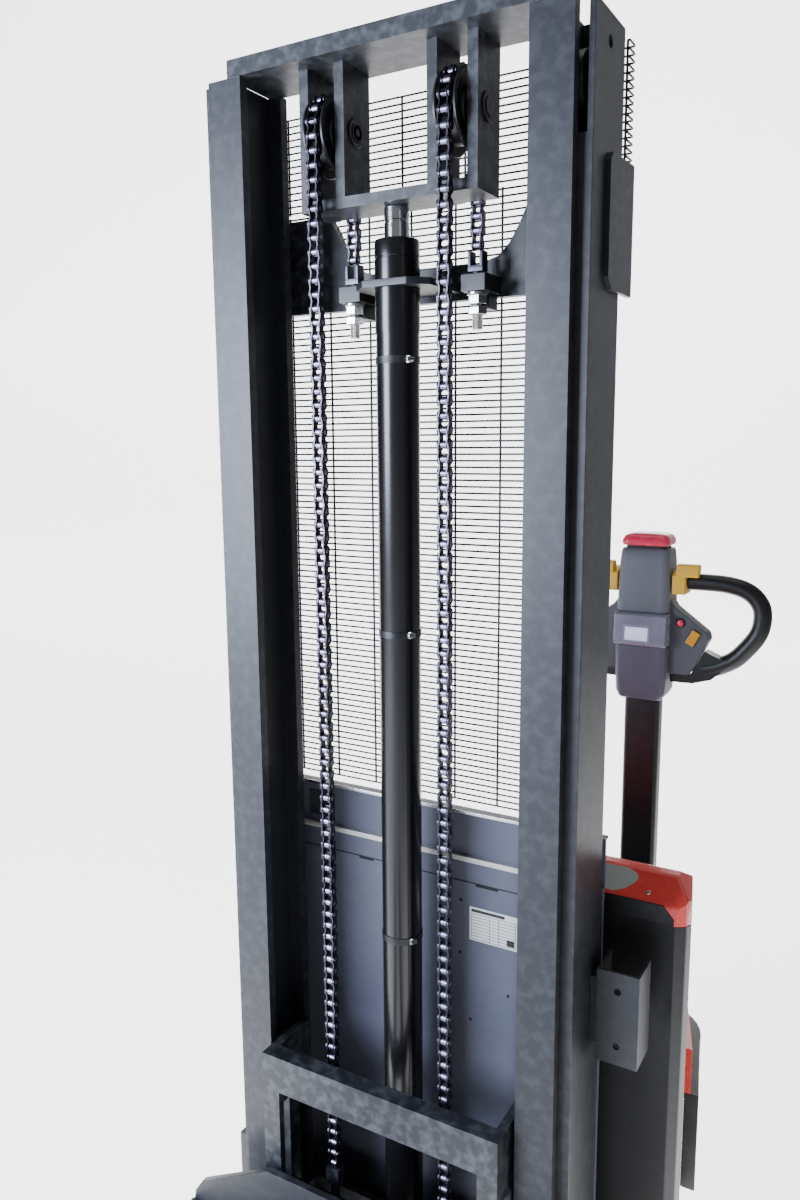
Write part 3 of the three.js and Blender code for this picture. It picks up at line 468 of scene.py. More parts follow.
def publish(name, bm, look, body, replaced=(), ease=0.0, weighted=True, sharp=42):
    """A piece that rides on a body, with its edges eased."""
    ease_edges(bm, ease)
    piece = as_piece(name, bm, look, sharp)
    if weighted:
        normals = piece.modifiers.new("normals", "WEIGHTED_NORMAL")
        normals.keep_sharp = True
    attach(piece, body)
    if replaced:
        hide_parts(*replaced)
    return piece


def body_of(node):
    for body, members in frame["record"]["behaviour"]["bodies"].items():
        if node in members:
            return body
    raise KeyError(node)


def cad_mesh(node):
    """A CAD node's own shape in the truck's millimetres, with its flat faces whole."""
    bm = bmesh.new()
    bm.from_mesh(frame["nodes"][node].data)
    bmesh.ops.transform(bm, matrix=TRUCK.inverted(), verts=bm.verts)
    bmesh.ops.remove_doubles(bm, verts=bm.verts, dist=0.01)
    bmesh.ops.dissolve_limit(bm, angle_limit=math.radians(1), verts=bm.verts, edges=bm.edges)
    return bm


def dress(node, look, ease=1.2, round_top=0.0):
    """The CAD node's shape in its finish, its edges eased and its outer top edges rounded if asked."""
    bm = cad_mesh(node)
    if round_top:
        def outward(face, x):
            return face.normal.z > -0.05 and face.normal.x * x > -0.05
        top = [e for e in bm.edges if len(e.link_faces) == 2 and e.calc_length() > 20
               and e.calc_face_angle(0) > math.radians(15)
               and all(outward(f, (e.verts[0].co.x + e.verts[1].co.x) / 400) for f in e.link_faces)
               and any(f.normal.z > 0.3 for f in e.link_faces)]
        bmesh.ops.bevel(bm, geom=top, offset=round_top, segments=5, profile=0.5, affect="EDGES",
                        clamp_overlap=True)
    return publish(f"{node}_skin", bm, look, body_of(node), (node,), ease)


def slabs(name, boxes, look, body="chassis", replaced=(), ease=0.0):
    """A piece made of boxes, each between two corners."""
    bm = bmesh.new()
    for low, high in boxes:
        slab(bm, low, high)
    publish(name, bm, look, body, replaced, ease)


def turned(name, profile, centre, look, body, axis=X_AXIS, sides=72, replaced=(), closed=False):
    bm = bmesh.new()
    lathe(bm, profile, centre, axis, sides, closed)
    return publish(name, bm, look, body, replaced, weighted=False, sharp=28)


def bolt(bm, centre, axis, across, head, washer=0.0):
    """A hexagon head with a chamfered crown and a washer, standing on a face."""
    centre = Vector(centre)
    if washer:
        r = across * 0.62 + 1.5
        lathe(bm, [(0, 0), (0, r), (washer * 0.7, r), (washer, r - 0.4), (washer, 0)], centre, axis, 32)
    r = across / math.sqrt(3)
    base = washer
    lathe(bm, [(base, 0), (base, r), (base + head * 0.8, r), (base + head, r * 0.84), (base + head, 0)],
          centre, axis, 6)


def weld(name, runs, body, look, radius=3.2):
    """Fillet weld beads with a rippled surface, along straight runs."""
    bm = bmesh.new()
    for start, end in runs:
        start, end = Vector(start), Vector(end)
        count = max(4, int((end - start).length / 2.2))
        path = [start.lerp(end, i / count) for i in range(count + 1)]
        turns = [0.86 + 0.14 * math.sin(i * 2.1) for i in range(count + 1)]
        sweep(bm, path, lambda share: (radius * turns[round(share * count)],) * 2, 8)
    return publish(name, bm, look, body, weighted=False, sharp=60)


# ---- lift chains ----------------------------------------------------------------------------------

CHAIN_X, CHAIN_PITCH = 102, 19.1
SHEAVE_Y, SHEAVE_Z, SHEAVE_R = 60, 1914, 50
CHAIN_BOTTOM, TAIL_BOTTOM, ANCHOR_Y = 305.5, 1748, 110
PLATE_R, PLATE_THICK, INNER_PLATE_X, OUTER_PLATE_X = 7.6, 1.9, 4.9, 7.0
LIFT, CHAIN_SHARP = 1450, 35


def chain_spots():
    """Pin centres from the carriage up the front, over the sheave and down to the anchor."""
    front = SHEAVE_Z - CHAIN_BOTTOM - 6
    arc = math.pi * SHEAVE_R
    rear = SHEAVE_Z - TAIL_BOTTOM - 7
    links = round((front + arc + rear) / CHAIN_PITCH)
    spots = []
    for i in range(links + 1):
        along = (front + arc + rear) * i / links
        if along < front:
            spots.append((SHEAVE_Y - SHEAVE_R, SHEAVE_Z - front + along))
        elif along < front + arc:
            angle = (along - front) / SHEAVE_R
            spots.append((SHEAVE_Y - SHEAVE_R * math.cos(angle), SHEAVE_Z + SHEAVE_R * math.sin(angle)))
        else:
            spots.append((SHEAVE_Y + SHEAVE_R, SHEAVE_Z - (along - front - arc)))
    return spots


def link_plate(bm, x0, x1, start, end):
    """A waisted plate round two pin centres."""
    a, b = Vector((0, *start)), Vector((0, *end))
    along = (b - a).normalized()
    outline = []
    for centre, forward in ((a, -along), (b, along)):
        for i in range(9):
            angle = math.pi * (i / 8 - 0.5)
            spot = centre + (forward * math.cos(angle) + forward.cross(X_AXIS) * -math.sin(angle)) * PLATE_R
            outline.append((spot.y, spot.z))
        middle_spot = (a + b) / 2 + forward.cross(X_AXIS) * -PLATE_R * 0.66
        outline.append((middle_spot.y, middle_spot.z))
    return prism(bm, outline, "X", x0, x1)


def chain_run(x, first, last, spots, part):
    """The plates, or the rollers and pins, of a run of links."""
    bm = bmesh.new()
    if part == "plates":
        for i in range(first, last):
            inset = INNER_PLATE_X if i % 2 else OUTER_PLATE_X
            for side in (-1, 1):
                x0, x1 = sorted((x + side * inset, x + side * (inset + PLATE_THICK)))
                link_plate(bm, x0, x1, spots[i], spots[i + 1])
    else:
        for y, z in spots[first:last + 1]:
            lathe(bm, both_ways([(-9.7, 0), (-9.7, 2.6), (-9.2, 3.2)]), (x, y, z), X_AXIS, 12)
            lathe(bm, both_ways([(-4.6, 3.3), (-4.6, 5.4), (-4.2, 5.8)]), (x, y, z), X_AXIS, 18, closed=True)
    return bm


def make_chains():
    spots = chain_spots()
    top = [i for i, (y, z) in enumerate(spots) if z >= SHEAVE_Z]
    runs = (("front", 0, top[0]), ("wrap", top[0], top[-1]), ("rear", top[-1], len(spots) - 1))
    for side, x in (("right", CHAIN_X), ("left", -CHAIN_X)):
        for run, first, last in runs:
            for part, look in (("plates", "chain_plate"), ("pins", "chain")):
                bm = chain_run(x, first, last, spots, part)
                name = f"chain_{run}_{part}_{side}"
                if run == "rear":
                    publish_tail(name, bm, look, (f"chain_tail_{side}",))
                    continue
                piece = publish(name, bm, look, "inner_mast", (f"lift_chain_{side}",), weighted=False,
                                sharp=CHAIN_SHARP)
                if run == "front":
                    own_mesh(piece)


def publish_tail(name, bm, look, nodes):
    """The strand behind a sheave, which on the truck lengthens as the inner mast rises; here it is baked in
    place and rides on no body.
    """
    piece = as_piece(name, bm, look, CHAIN_SHARP)
    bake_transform(piece)
    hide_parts(*nodes)


def make_sheaves():
    rim = both_ways([(-17, 30), (-15, 32), (-13, 46), (-16.4, 49), (-16.9, 52), (-16, 53.8), (-13.6, 53.9),
                     (-12.2, 52.4), (-12, 41.4), (-11, 40.9)]) + [(17, 24), (-17, 24)]
    bearing = both_ways([(-16.4, 12.9), (-16.4, 16), (-15.6, 16.6), (-15.2, 22), (-16, 23.6)])
    collar = [(0, 12.2), (0, 19.5), (1.8, 19.5), (2.6, 18.6), (2.6, 12.8), (2.0, 12.2)]
    for side, sign in (("right", 1), ("left", -1)):
        body = body_of(f"sheave_{side}")
        centre = (sign * CHAIN_X, SHEAVE_Y, SHEAVE_Z)
        turned(f"sheave_rim_{side}", rim, centre, "black", body, replaced=(f"sheave_{side}",), closed=True)
        turned(f"sheave_bearing_{side}", bearing, centre, "steel", body, closed=True)
        ends, collars = bmesh.new(), bmesh.new()
        for cheek, tip in ((65, 61), (139, 142.8)):
            axis = X_AXIS * sign * (1 if tip > cheek else -1)
            reach = abs(tip - cheek)
            end = [(0.5, 0), (0.5, 11.8), (reach - 1.2, 11.8), (reach, 10.4), (reach, 5), (1.2, 3.6),
                   (1.2, 0)]
            lathe(ends, end, (sign * cheek, SHEAVE_Y, SHEAVE_Z), axis, 48)
            lathe(collars, collar, (sign * cheek, SHEAVE_Y, SHEAVE_Z), axis, 48, closed=True)
        publish(f"sheave_axle_ends_{side}", ends, "steel", "inner_mast", weighted=False, sharp=28)
        publish(f"sheave_axle_collars_{side}", collars, "black", "inner_mast", weighted=False, sharp=28)


def make_chain_anchors():
    member_face = 147.7
    for side, sign in (("right", 1), ("left", -1)):
        x, y = sign * CHAIN_X, ANCHOR_Y
        slabs(f"anchor_block_{side}", [((x - 19, y - 16, 1692), (x + 19, member_face, 1716)),
                                       ((x - 14, y + 6, 1670), (x + 14, member_face, 1693))],
              "black", replaced=(f"chain_anchor_{side}",), ease=2)
        slabs(f"anchor_clevis_{side}", [((x - 11.8, y - 8.5, 1726), (x - 6.2, y + 8.5, 1746.8)),
                                        ((x + 6.2, y - 8.5, 1726), (x + 11.8, y + 8.5, 1746.8)),
                                        ((x - 11.8, y - 8.5, 1719), (x + 11.8, y + 8.5, 1728))],
              "chain_plate", ease=1.6)
        bm = bmesh.new()
        lathe(bm, thread(1641, 1721, 7.6), (x, y, 0), Z_AXIS, 24)
        publish(f"anchor_rod_{side}", bm, "zinc", "chassis", weighted=False, sharp=50)
        bm = bmesh.new()
        for low, high in ((1675, 1688), (1661, 1672)):
            lathe(bm, [(low, 8), (low, 13.2), (low + 1, 14.4), (high - 1, 14.4), (high, 13.2), (high, 8)],
                  (x, y, 0), Z_AXIS, 6, closed=True)
        washer = [(1688.2, 8), (1688.2, 15), (1691.7, 15), (1691.7, 8)]
        lathe(bm, washer, (x, y, 0), Z_AXIS, 32, closed=True)
        publish(f"anchor_nuts_{side}", bm, "zinc", "chassis", ease=0.4)


def thread(low, high, radius, pitch=2.0):
    """The profile of a threaded rod."""
    profile = [(low, 0), (low, radius - 1)]
    level = low + 0.8
    while level < high - pitch:
        profile += [(level, radius - 0.7), (level + pitch / 2, radius)]
        level += pitch
    return profile + [(high, radius - 1), (high, 0)]


# ---- lift cylinder --------------------------------------------------------------------------------

def make_cylinder():
    low, high = span("lift_cylinder")
    y, r = (low.y + high.y) / 2, 31
    head = (high.x - low.x) / 2 - 0.1
    top = high.z - 0.2
    profile = [(60.6, 0), (60.6, r - 2), (62.6, r - 0.1), (1636, r - 0.1), (1640.5, head), (1737, head),
               (1737.8, head - 0.7), (1739.2, head - 0.7), (1740, head), (top - 3, head),
               (top - 0.8, head - 0.9), (top, head - 3), (top, 24), (top - 2, 23), (top - 2, 19.2),
               (1700, 19), (1700, 0)]
    turned("cylinder_tube", profile, (0, y, 0), "ram", "chassis", Z_AXIS, 96, ("lift_cylinder",))
    rod = [(300.5, 0), (300.5, 17.8), (1786, 17.8), (1787, 16.9), (1789, 16.9), (1790, 17.8), (1806, 17.8),
           (1808.4, 16.2), (1808.4, 0)]
    turned("rod_chrome", rod, (0, y, 0), "chrome", "inner_mast", Z_AXIS, 96, ("piston_rod",))
    wiper = [(top - 1.8, 18.2), (top - 1.8, 22.8), (top + 0.8, 22.2), (top + 2.4, 19.2), (top + 2.4, 18.2)]
    turned("rod_wiper", wiper, (0, y, 0), "black_plastic", "chassis", Z_AXIS, 64, closed=True)

    dress("cylinder_clamp", "charcoal", 1.5)

    # The return pipe runs down behind the tube, held by hose clips.
    x, py, pipe_r = -33, y + 16, 4.3
    path = smooth_path([(x, py, 1695), (x, py, 1500), (x, py, 1200), (x, py, 900), (x, py, 600),
                        (x, py, 350), (x, py, 200), (x, py, 130), (x, py, 98), (x, py + 4, 80),
                        (x, py + 14, 71.5), (x, py + 30, 68.5), (x, 133, 68)], 6)
    bm = bmesh.new()
    sweep(bm, path, lambda share: (pipe_r, pipe_r), 20)
    publish("pipe_tube", bm, "black", "chassis", ("hydraulic_pipe",), weighted=False, sharp=40)
    bm = bmesh.new()
    clips = (723, 1206, 1600)
    for z in clips:
        ring = [(z - 5, r), (z - 5, r + 0.9), (z + 5, r + 0.9), (z + 5, r)]
        lathe(bm, ring, (0, y, 0), Z_AXIS, 72, closed=True)
        ring = [(z - 5, pipe_r), (z - 5, 5.2), (z + 5, 5.2), (z + 5, pipe_r)]
        lathe(bm, ring, (x, py, 0), Z_AXIS, 24, closed=True)
    publish("pipe_clips", bm, "black", "chassis", weighted=False, sharp=35)
    bm = bmesh.new()
    for z in clips:
        spot = Vector((r * math.cos(-0.55), y + r * math.sin(-0.55), z))
        lathe(bm, [(-5.5, 0), (-5.5, 3.4), (-4.9, 3.9), (4.9, 3.9), (5.5, 3.4), (5.5, 0)],
              spot + Vector((2.2, -1.2, 0)), Vector((0.5, 0.85, 0)), 20)
        slab(bm, spot + Vector((-3, -3, -4.6)), spot + Vector((3, 3, 4.6)))
    publish("pipe_clip_screws", bm, "zinc", "chassis", ease=0.4)


# ---- mesh guard -----------------------------------------------------------------------------------

def make_guard():
    low, high = span("mesh_guard")
    y, wire, upright, pitch = 170, 1.5, 1.7, 9.8
    bm = bmesh.new()
    bends = bmesh.new()
    for z0, z1, half in ((low.z, 1842, 264), (1848, high.z, high.x)):
        count = round((z1 - z0 - 4) / pitch)
        for i in range(count + 1):
            z = z0 + 2 + (z1 - z0 - 4) * i / count
            lathe(bm, [(-half + 2, 0), (-half + 2, wire), (half - 2, wire), (half - 2, 0)],
                  (0, y - wire, z), X_AXIS, 8)
            if half == high.x:
                for sign in (-1, 1):
                    path = [(sign * (half - 6), y - wire, z), (sign * (half - 2.6), y - 1.8, z),
                            (sign * (half - 1.4), y - 5, z), (sign * (half - 1.3), y - 14, z),
                            (sign * (half - 1.3), low.y + 1, z)]
                    sweep(bends, smooth_path(path, 3), lambda share: (wire, wire), 8)
    publish("guard_wires", bm, "black", "chassis", ("mesh_guard",), weighted=False, sharp=60)
    publish("guard_wire_ends", bends, "black", "chassis", weighted=False, sharp=60)
    bm = bmesh.new()
    for z0, z1, half, columns in ((low.z, 1844, 264, 7), (1846, high.z, 264, 5)):
        for i in range(columns + 1):
            x = -half + 2.5 + (2 * half - 5) * i / columns
            lathe(bm, [(z0 + 1, 0), (z0 + 1, upright), (z1 - 1, upright), (z1 - 1, 0)],
                  (x, y + 0.4, 0), Z_AXIS, 8)
    for sign in (-1, 1):
        slab(bm, (sign * 257 - 7, 164.6, 1700), (sign * 257 + 7, y, 1712))
        lathe(bm, [(1847, 0), (1847, upright), (high.z - 1, upright), (high.z - 1, 0)],
              (sign * (high.x - 4), low.y + 2.2, 0), Z_AXIS, 8)
    publish("guard_uprights", bm, "black", "chassis", weighted=False, sharp=60)


# ---- rollers and wheels ---------------------------------------------------------------------------

def node_middle(node):
    """A roller's centre, half its width and its radius."""
    low, high = span(node)
    return (low + high) / 2, (high.x - low.x) / 2, (high.z - low.z) / 2


def bearing_roller(node):
    """A mast or carriage roller: its ring with a stepped face round the axle."""
    centre, half, r = node_middle(node)
    ring = both_ways([(-half, r * 0.66), (-half, r - 2.2), (-half + 1.6, r - 0.1)])
    ring += both_ways([(half - 1.2, r * 0.64), (half - 1.2, r * 0.45), (half - 0.6, r * 0.43),
                       (half - 0.6, 14.8)])
    turned(f"{node}_ring", ring, centre, "black" if "mast_roller" in node else "steel", body_of(node),
           sides=64, replaced=(node,), closed=True)


def make_wheels():
    for side in ("right", "left"):
        for kind in ("mast_roller_upper", "mast_roller_lower", "carriage_roller_lower",
                     "carriage_roller_upper"):
            bearing_roller(f"{kind}_{side}")
        node = f"load_roller_{side}"
        centre, half, _ = node_middle(node)
        tyre = both_ways([(-half, 28), (-half, 36), (-half + 3, 39.2), (-half + 7, 39.95)])
        turned(f"{node}_tyre", tyre, centre, "tyre", body_of(node), replaced=(node,), closed=True)
        hub = both_ways([(-half + 1, 12), (-half + 1, 18), (-half + 3, 19), (-half + 3, 27.9)])
        turned(f"{node}_hub", hub, centre, "steel", body_of(node), closed=True)

    centre, half, _ = node_middle("drive_wheel")
    tyre = both_ways([(-half, 80), (-half, 98), (-half + 5, 103.4), (-half + 10, 104.9)])
    turned("drive_tyre", tyre, centre, "tyre", "drive_wheel", sides=128, replaced=("drive_wheel",),
           closed=True)
    hub = both_ways([(-half + 4, 25.4), (-half + 4, 40), (-half + 12, 46), (-half + 12, 68),
                     (-half + 3, 74), (-half + 2, 79.9)])
    turned("drive_hub", hub, centre, "black", "drive_wheel", sides=96, closed=True)
    bm = bmesh.new()
    bolt_circle = 56
    for i in range(6):
        angle = math.pi * i / 3
        spot = centre + Vector((-half + 12, bolt_circle * math.cos(angle), bolt_circle * math.sin(angle)))
        bolt(bm, spot, -X_AXIS, 17, 8, 2)
    publish("drive_bolts", bm, "zinc", "drive_wheel", weighted=False, sharp=30)

    centre, half, _ = node_middle("castor_wheel")
    tyre = both_ways([(-half, 46), (-half, 60), (-half + 4, 64), (-half + 8, 64.9)])
    turned("castor_tyre", tyre, centre, "tyre", "castor_wheel", sides=96, replaced=("castor_wheel",),
           closed=True)
    hub = both_ways([(-half + 2, 9), (-half + 2, 18), (-half + 7, 22), (-half + 7, 40), (-half + 1, 45.9)])
    turned("castor_hub", hub, centre, "black_plastic", "castor_wheel", sides=64, closed=True)


# ---- tiller ---------------------------------------------------------------------------------------

TILLER_X, TILLER_Y, GRIP_Z, YOKE_Z = 222, 600, 1232, 470
WING_FACE = TILLER_Y - 20
HORN_X, HORN_Z = 68, 1158
ROCKER_X, ROCKER_Z, ROCKER_TURN = 91, 1132, 0.5


def loft_box(bm, sections):
    """A solid through level rectangles with rounded corners: (z, x0, x1, y0, y1, corner radius)."""
    rings = []
    for z, x0, x1, y0, y1, r in sections:
        ring = []
        corners = ((x1 - r, y1 - r, 0), (x0 + r, y1 - r, 90), (x0 + r, y0 + r, 180), (x1 - r, y0 + r, 270))
        for cx, cy, start in corners:
            for i in range(6):
                angle = math.radians(start + 90 * i / 5)
                ring.append(bm.verts.new((cx + r * math.cos(angle), cy + r * math.sin(angle), z)))
        rings.append(ring)
    faces = [bm.faces.new(reversed(rings[0])), bm.faces.new(rings[-1])]
    for a, b in zip(rings, rings[1:]):
        for i in range(len(a)):
            j = (i + 1) % len(a)
            faces.append(bm.faces.new((a[i], a[j], b[j], b[i])))
    bmesh.ops.recalc_face_normals(bm, faces=faces)


def head_block(name, sections, look, body, replaced=(), sharp=35):
    """A piece lofted round the tiller's middle: (z, x0, x1, y0, y1, corner radius) from its axis."""
    bm = bmesh.new()
    x, y = TILLER_X, TILLER_Y
    loft_box(bm, [(z, x + x0, x + x1, y + y0, y + y1, r) for z, x0, x1, y0, y1, r in sections])
    publish(name, bm, look, body, replaced, sharp=sharp)


def make_head():
    x, y = TILLER_X, TILLER_Y
    head_block("head_lower", [(1010.5, -37, 37, -35, 33, 8), (1013, -40, 40, -39, 35.6, 10),
                              (1024, -45.6, 45.6, -41, 38.6, 12), (1060, -47.4, 47.4, -41.4, 39.4, 12),
                              (1111.4, -48.6, 48.6, -41.8, 39.2, 12)],
               "mauve_plastic", "tiller", ("tiller_head",))
    head_block("head_upper", [(1175.4, -48.2, 48.2, -37.2, 38.6, 12), (1213, -47.4, 47.4, -37, 38.2, 12),
                              (1268, -45.4, 45.4, -36.6, 36.6, 12), (1284, -44.6, 44.6, -33, 32, 12),
                              (1290, -43.4, 43.4, -30, 30, 11), (1291.4, -41.4, 41.4, -28.4, 28, 10)],
               "grey_plastic", "tiller")

    # The display housing is as wide as the head, and its face leans back.
    bm = bmesh.new()
    front = [(y + 38.6, 1112.4), (y + 38.6, 1174.6), (y - 37, 1174.6), (y - 46.6, 1169.6), (y - 52, 1122),
             (y - 50.4, 1117), (y - 44, 1112.4)]
    prism(bm, front, "X", x - 48.4, x + 48.4)
    publish("display_housing", bm, "bezel", "tiller", ease=3.2, sharp=30)
    lean = Matrix.Translation((x - 5, y - 50.4, 1136)) @ Matrix.Rotation(math.atan2(-5.4, 47.6), 4, "X")
    for name, look, half_x, half_z, out in (("display_glass", "glass", 25, 16, 0.5),
                                            ("display_screen", "screen", 21, 12, 0.8)):
        bm = bmesh.new()
        slab(bm, (-half_x, -out, -half_z), (half_x, 1.2, half_z))
        bmesh.ops.transform(bm, matrix=lean, verts=bm.verts)
        publish(name, bm, look, "tiller", ease=0.3)

    # The cap is hollow underneath, so it can be pressed down over the block it slides on.
    head_block("button_cap", [(1302, -38, 38, -29, 27, 9), (1297, -38, 38, -29, 27, 9),
                              (1297, -42, 42, -33, 31, 12), (1299, -43.6, 43.6, -35.2, 33, 13),
                              (1307, -43.4, 43.4, -35, 33, 13), (1314, -40, 40, -31, 29, 12),
                              (1318, -32, 32, -24, 22, 10), (1319.6, -20, 20, -14, 12, 7)],
               "red_cap", "belly_button", ("belly_button",), sharp=60)
    head_block("button_gaiter", [(1291.6, -36, 36, -27, 25, 8), (1296.8, -36, 36, -27, 25, 8)],
               "black_plastic", "tiller", sharp=42)


def make_handles():
    x, y = TILLER_X, TILLER_Y
    for side, sign in (("right", 1), ("left", -1)):
        bm = bmesh.new()
        wing = [(42, 1060.8), (83.4, 1060.8), (88, 1066), (117.6, 1127), (118, 1132), (114.6, 1142),
                (57.6, 1185), (42, 1208)]
        prism(bm, [(x + sign * a, z) for a, z in wing], "Y", y - 19.6, y + 15.6)
        publish(f"head_wing_{side}", bm, "dark_grey_plastic", "tiller", ease=3.4, sharp=30)
        grip_path = [(75.2, GRIP_Z), (108, GRIP_Z), (132, GRIP_Z - 0.8), (152, 1228.6), (172, 1223),
                     (189, 1212.4), (201, 1196), (204.8, 1178), (202.8, 1156), (195, 1137), (180, 1116),
                     (163, 1097), (148, 1087), (130, 1078.4), (107, 1072)]
        path = smooth_path([(x + sign * a, y, z) for a, z in grip_path], 6)
        bm = bmesh.new()
        sweep(bm, path, lambda share: (15.4 + 1.0 * share, 16.2), 28)
        root = [(50.4, 1045), (91, 1046), (124, 1056), (140, 1071), (150, 1086), (150, 1094), (136, 1097),
                (112.6, 1107), (110, 1106.6), (86, 1059.2), (50.4, 1059.2)]
        prism(bm, [(x + sign * a, z) for a, z in root], "Y", y - 13.8, y + 13.8)
        publish(f"loop_{side}", bm, "grip", "tiller", (f"loop_handle_{side}",), weighted=False, sharp=50)

        bm = bmesh.new()
        knob = [(y - 25.6, GRIP_Z - 20), (y - 22, GRIP_Z - 22.6), (y + 22, GRIP_Z - 22.6),
                (y + 25.6, GRIP_Z - 17), (y + 25.6, GRIP_Z + 16), (y + 20, GRIP_Z + 21.6),
                (y - 8, GRIP_Z + 21.6), (y - 25.6, GRIP_Z + 12)]
        low, high = sorted((x + sign * 50, x + sign * 73.8))
        prism(bm, knob, "X", low, high)
        lever = [(y - 29.8, GRIP_Z + 14), (y - 27, GRIP_Z + 31), (y - 22, GRIP_Z + 33.8),
                 (y - 10, GRIP_Z + 33.6), (y - 6.4, GRIP_Z + 28), (y - 7, GRIP_Z + 18.8),
                 (y - 18.6, GRIP_Z + 10.4), (y - 27, GRIP_Z + 10.4)]
        low, high = sorted((x + sign * 58, x + sign * 97.6))
        prism(bm, lever, "X", low, high)
        nodes = ("butterfly",) if sign > 0 else ()
        publish(f"throttle_{side}", bm, "yellow", "butterfly", nodes, ease=3.4, sharp=30)
    turned("throttle_shaft", both_ways([(-52, 0), (-52, 11.9)]), (x, y, GRIP_Z), "steel", "butterfly")


def make_buttons():
    x, y = TILLER_X, TILLER_Y
    turned("horn_cap", [(2.2, 0), (2.2, 5.9), (4.6, 5.9), (6, 5.0), (6.7, 3), (6.8, 0)],
           (x + HORN_X, WING_FACE, HORN_Z), "red_cap", "horn_button", -Y_AXIS, 48, ("horn_button",))
    turned("horn_ring", [(0, 6.7), (0, 8.8), (1.6, 8.6), (2.4, 7.8), (2.4, 6.7)],
           (x + HORN_X, y - 19.6, HORN_Z), "black_plastic", "tiller", -Y_AXIS, 48, closed=True)

    bm = bmesh.new()
    slab(bm, (-7.8, -5.9, -13.8), (7.8, -1.6, 13.8))
    ease_edges(bm, 1.4)
    slab(bm, (-5.4, -6.0, -11.4), (5.4, -5.4, 11.4))
    place = Matrix.Translation((x + ROCKER_X, WING_FACE, ROCKER_Z))
    tilt = place @ Matrix.Rotation(ROCKER_TURN, 4, "Y")
    bmesh.ops.transform(bm, matrix=tilt, verts=bm.verts)
    publish("rocker_pad", bm, "amber", "lift_rocker", ("lift_rocker",))


def make_tiller():
    make_head()
    make_handles()
    make_buttons()
    dress("tiller_arm", "black", 2.5)
    dress("tiller_yoke", "black", 1.2)
    bm = bmesh.new()
    for sign in (1, -1):
        bolt(bm, (TILLER_X + sign * 36.9, TILLER_Y, YOKE_Z), X_AXIS * sign, 17, 7)
    publish("yoke_bolts", bm, "zinc", "steering", weighted=False, sharp=30)


# ---- body, hood and panel -------------------------------------------------------------------------

def plate_on(bm, outline, place, out, into):
    """A thin closed plate: an outline in X and Z laid on a surface y = place(z), facing -Y."""
    front = [bm.verts.new((x, place(z) - out, z)) for x, z in outline]
    back = [bm.verts.new((x, place(z) + into, z)) for x, z in outline]
    bm.faces.new(front)
    bm.faces.new(reversed(back))
    for i in range(len(outline)):
        j = (i + 1) % len(outline)
        bm.faces.new((front[j], front[i], back[i], back[j]))
    bmesh.ops.recalc_face_normals(bm, faces=bm.faces)


def make_hood_front():
    """The black facing below the hood's nose, the pale insert on the nose and the hood's screws."""
    right = [(391, 777.6), (391, 787), (374, 805.4)]
    bm = bmesh.new()
    plate_on(bm, right + [(-x, z) for x, z in reversed(right)], lambda z: 185 + (z - 777) * 0.069, 1.4, 1.0)
    publish("hood_facing", bm, "black", "hood", ease=0.5)
    right = [(298, 810), (314, 815), (326, 823), (330, 829), (326, 834), (312, 837.6)]
    bm = bmesh.new()
    plate_on(bm, right + [(-x, z) for x, z in reversed(right)], lambda z: 187 + (z - 806) * 1.03, 1.1, 1.0)
    publish("hood_insert", bm, "insert", "hood", ease=0.4)
    bm = bmesh.new()
    for sign in (-1, 1):
        lathe(bm, [(-1, 0), (-1, 3.6), (0.6, 3.6), (1.6, 2.4), (1.8, 0)], (sign * 349, 197, 816),
              Vector((0, -0.72, 0.69)), 20)
    publish("hood_screws", bm, "zinc", "hood", weighted=False, sharp=30)


def make_cover():
    """The drive cover: a glossy top over a black bumper skirt, split where the CAD solid steps."""
    step = 300
    for name, look, is_top, nodes in (("drive_cover_top", "red", True, ("drive_cover",)),
                                      ("drive_cover_skirt", "black_plastic", False, ())):
        bm = cad_mesh("drive_cover")
        cut = bmesh.ops.bisect_plane(bm, geom=bm.verts[:] + bm.edges[:] + bm.faces[:],
                                     plane_co=(0, 0, step + 0.2 if is_top else step - 0.01),
                                     plane_no=(0, 0, 1), clear_inner=is_top, clear_outer=not is_top)
        rim = [e for e in cut["geom_cut"] if isinstance(e, bmesh.types.BMEdge)]
        bmesh.ops.triangle_fill(bm, use_beauty=True, edges=rim, normal=(0, 0, 1))
        bmesh.ops.recalc_face_normals(bm, faces=bm.faces)
        publish(name, bm, look, "chassis", nodes, ease=2.2 if is_top else 3.0)


def make_body():
    dress("body_shell", "black", 3)
    dress("hood", "red", 1.5, round_top=15)
    dress("instrument_panel", "black_plastic", 1.5, round_top=12)
    make_cover()
    make_hood_front()
    for node, look, ease in (
            ("bulkhead_panel", "panel_paint", 1), ("side_bracket", "charcoal", 1.2),
            ("chassis_frame", "black", 1.5), ("battery", "battery", 3), ("pump_unit", "black", 3),
            ("drive_unit", "black", 2), ("castor_fork", "zinc", 1), ("key_switch", "steel", 0.6),
            ("emergency_stop", "red_cap", 1.5)):
        dress(node, look, ease)
    make_bulkhead()
    make_rating_plate()


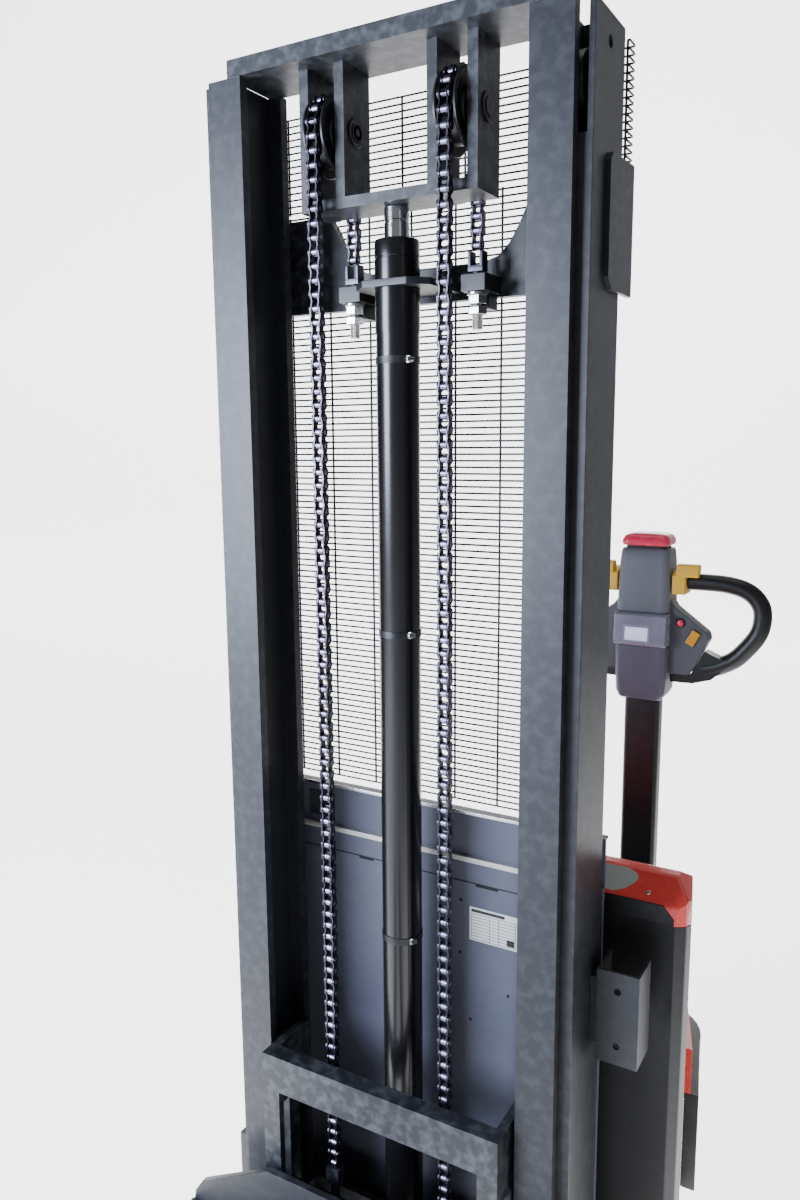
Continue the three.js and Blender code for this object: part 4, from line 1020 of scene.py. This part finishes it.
def make_bulkhead():
    """The fittings on the bulkhead's fork side: ledge, a strip whose pale colour is painted highlight, seam,
    slots and holes in near-black painted shade, and patches.
    """
    bulkhead = span("bulkhead_panel")[1].z
    seam = 832
    slabs("bulkhead_ledge", [((-290, 145.0, bulkhead - 5), (290, 162.6, bulkhead - 0.2))], "zinc", ease=0.6)
    # The strip's pale colour is a painted highlight of the light falling on its top edge.
    slabs("bulkhead_strip", [((-288, 142.8, seam - 8), (288, 150.2, seam + 0.3))], "painted_highlight_strip", ease=0.8)
    # Painted shade: thin near-black plates and discs stand in for the dark of the seam below the strip with
    # its two slots, and of the drilled holes.
    bm = bmesh.new()
    slab(bm, (-262, 143.4, 789.6), (262, 144.3, 791.2))
    for x0, x1 in ((-131, -103), (88, 127)):
        slab(bm, (x0, 143.3, 786), (x1, 144.3, 789))
    for x, z in ((62, 757), (61, 666), (146, 613), (80, 552)):
        lathe(bm, [(0, 0), (0, 2.6), (0.7, 2.6), (0.7, 0)], (x, 144.2, z), -Y_AXIS, 20)
    publish("bulkhead_painted_shade", bm, "shadow", "chassis", weighted=False)
    slabs("bulkhead_patches", [((x - 26, 148.9, 845), (x + 26, 150.3, 890)) for x in (-210, 210)],
          "charcoal", ease=0.5)


def make_rating_plate():
    """A blank rating plate: a frame and ruled rows, with nothing written on it."""
    x0, x1, z0, z1, y = 78, 161, 693, 750, 143.8
    slabs("rating_plate", [((x0, y - 0.6, z0), (x1, y + 0.3, z1))], "label", ease=0.2)
    bm = bmesh.new()
    rows = 8
    for i in range(rows + 1):
        z = z0 + 3 + (z1 - z0 - 14) * i / rows
        slab(bm, (x0 + 3, y - 0.75, z - 0.35), (x1 - 3, y - 0.5, z + 0.35))
    for share in (0, 0.42, 0.62, 1):
        x = x0 + 3 + (x1 - x0 - 6) * share
        slab(bm, (x - 0.35, y - 0.75, z0 + 3), (x + 0.35, y - 0.5, z1 - 11))
    slab(bm, (x0 + 3, y - 0.75, z1 - 8), (x1 - 22, y - 0.5, z1 - 3))
    slab(bm, (x1 - 18, y - 0.75, z0 + 5), (x1 - 5, y - 0.5, z0 + 16))
    publish("rating_plate_rules", bm, "ink", "chassis")


# ---- mast, carriage, legs and forks ---------------------------------------------------------------

def make_mast():
    for side in ("right", "left"):
        dress(f"outer_rail_{side}", "charcoal", 1.6)
        dress(f"inner_rail_{side}", "charcoal", 1.6)
        dress(f"support_leg_{side}", "charcoal", 2)
        dress(f"fork_{side}", "charcoal", 2)
    for node in ("mast_head", "upper_cross_member", "inner_lower_tie", "carriage_frame", "fork_plate"):
        dress(node, "charcoal", 1.4)
    weld("mast_head_welds", [((sign * 222, 2, 2000.2), (sign * 240, 2, 2000.2)) for sign in (-1, 1)]
         + [((sign * a, 32, 1826), (sign * a, 96, 1826)) for sign in (-1, 1) for a in (81.5, 122.5)],
         "inner_mast", "charcoal", 2.6)


make_camera()
make_world()
make_floor()
make_lights()
make_chains()
make_sheaves()
make_chain_anchors()
make_cylinder()
make_guard()
make_wheels()
make_tiller()
make_body()
make_mast()
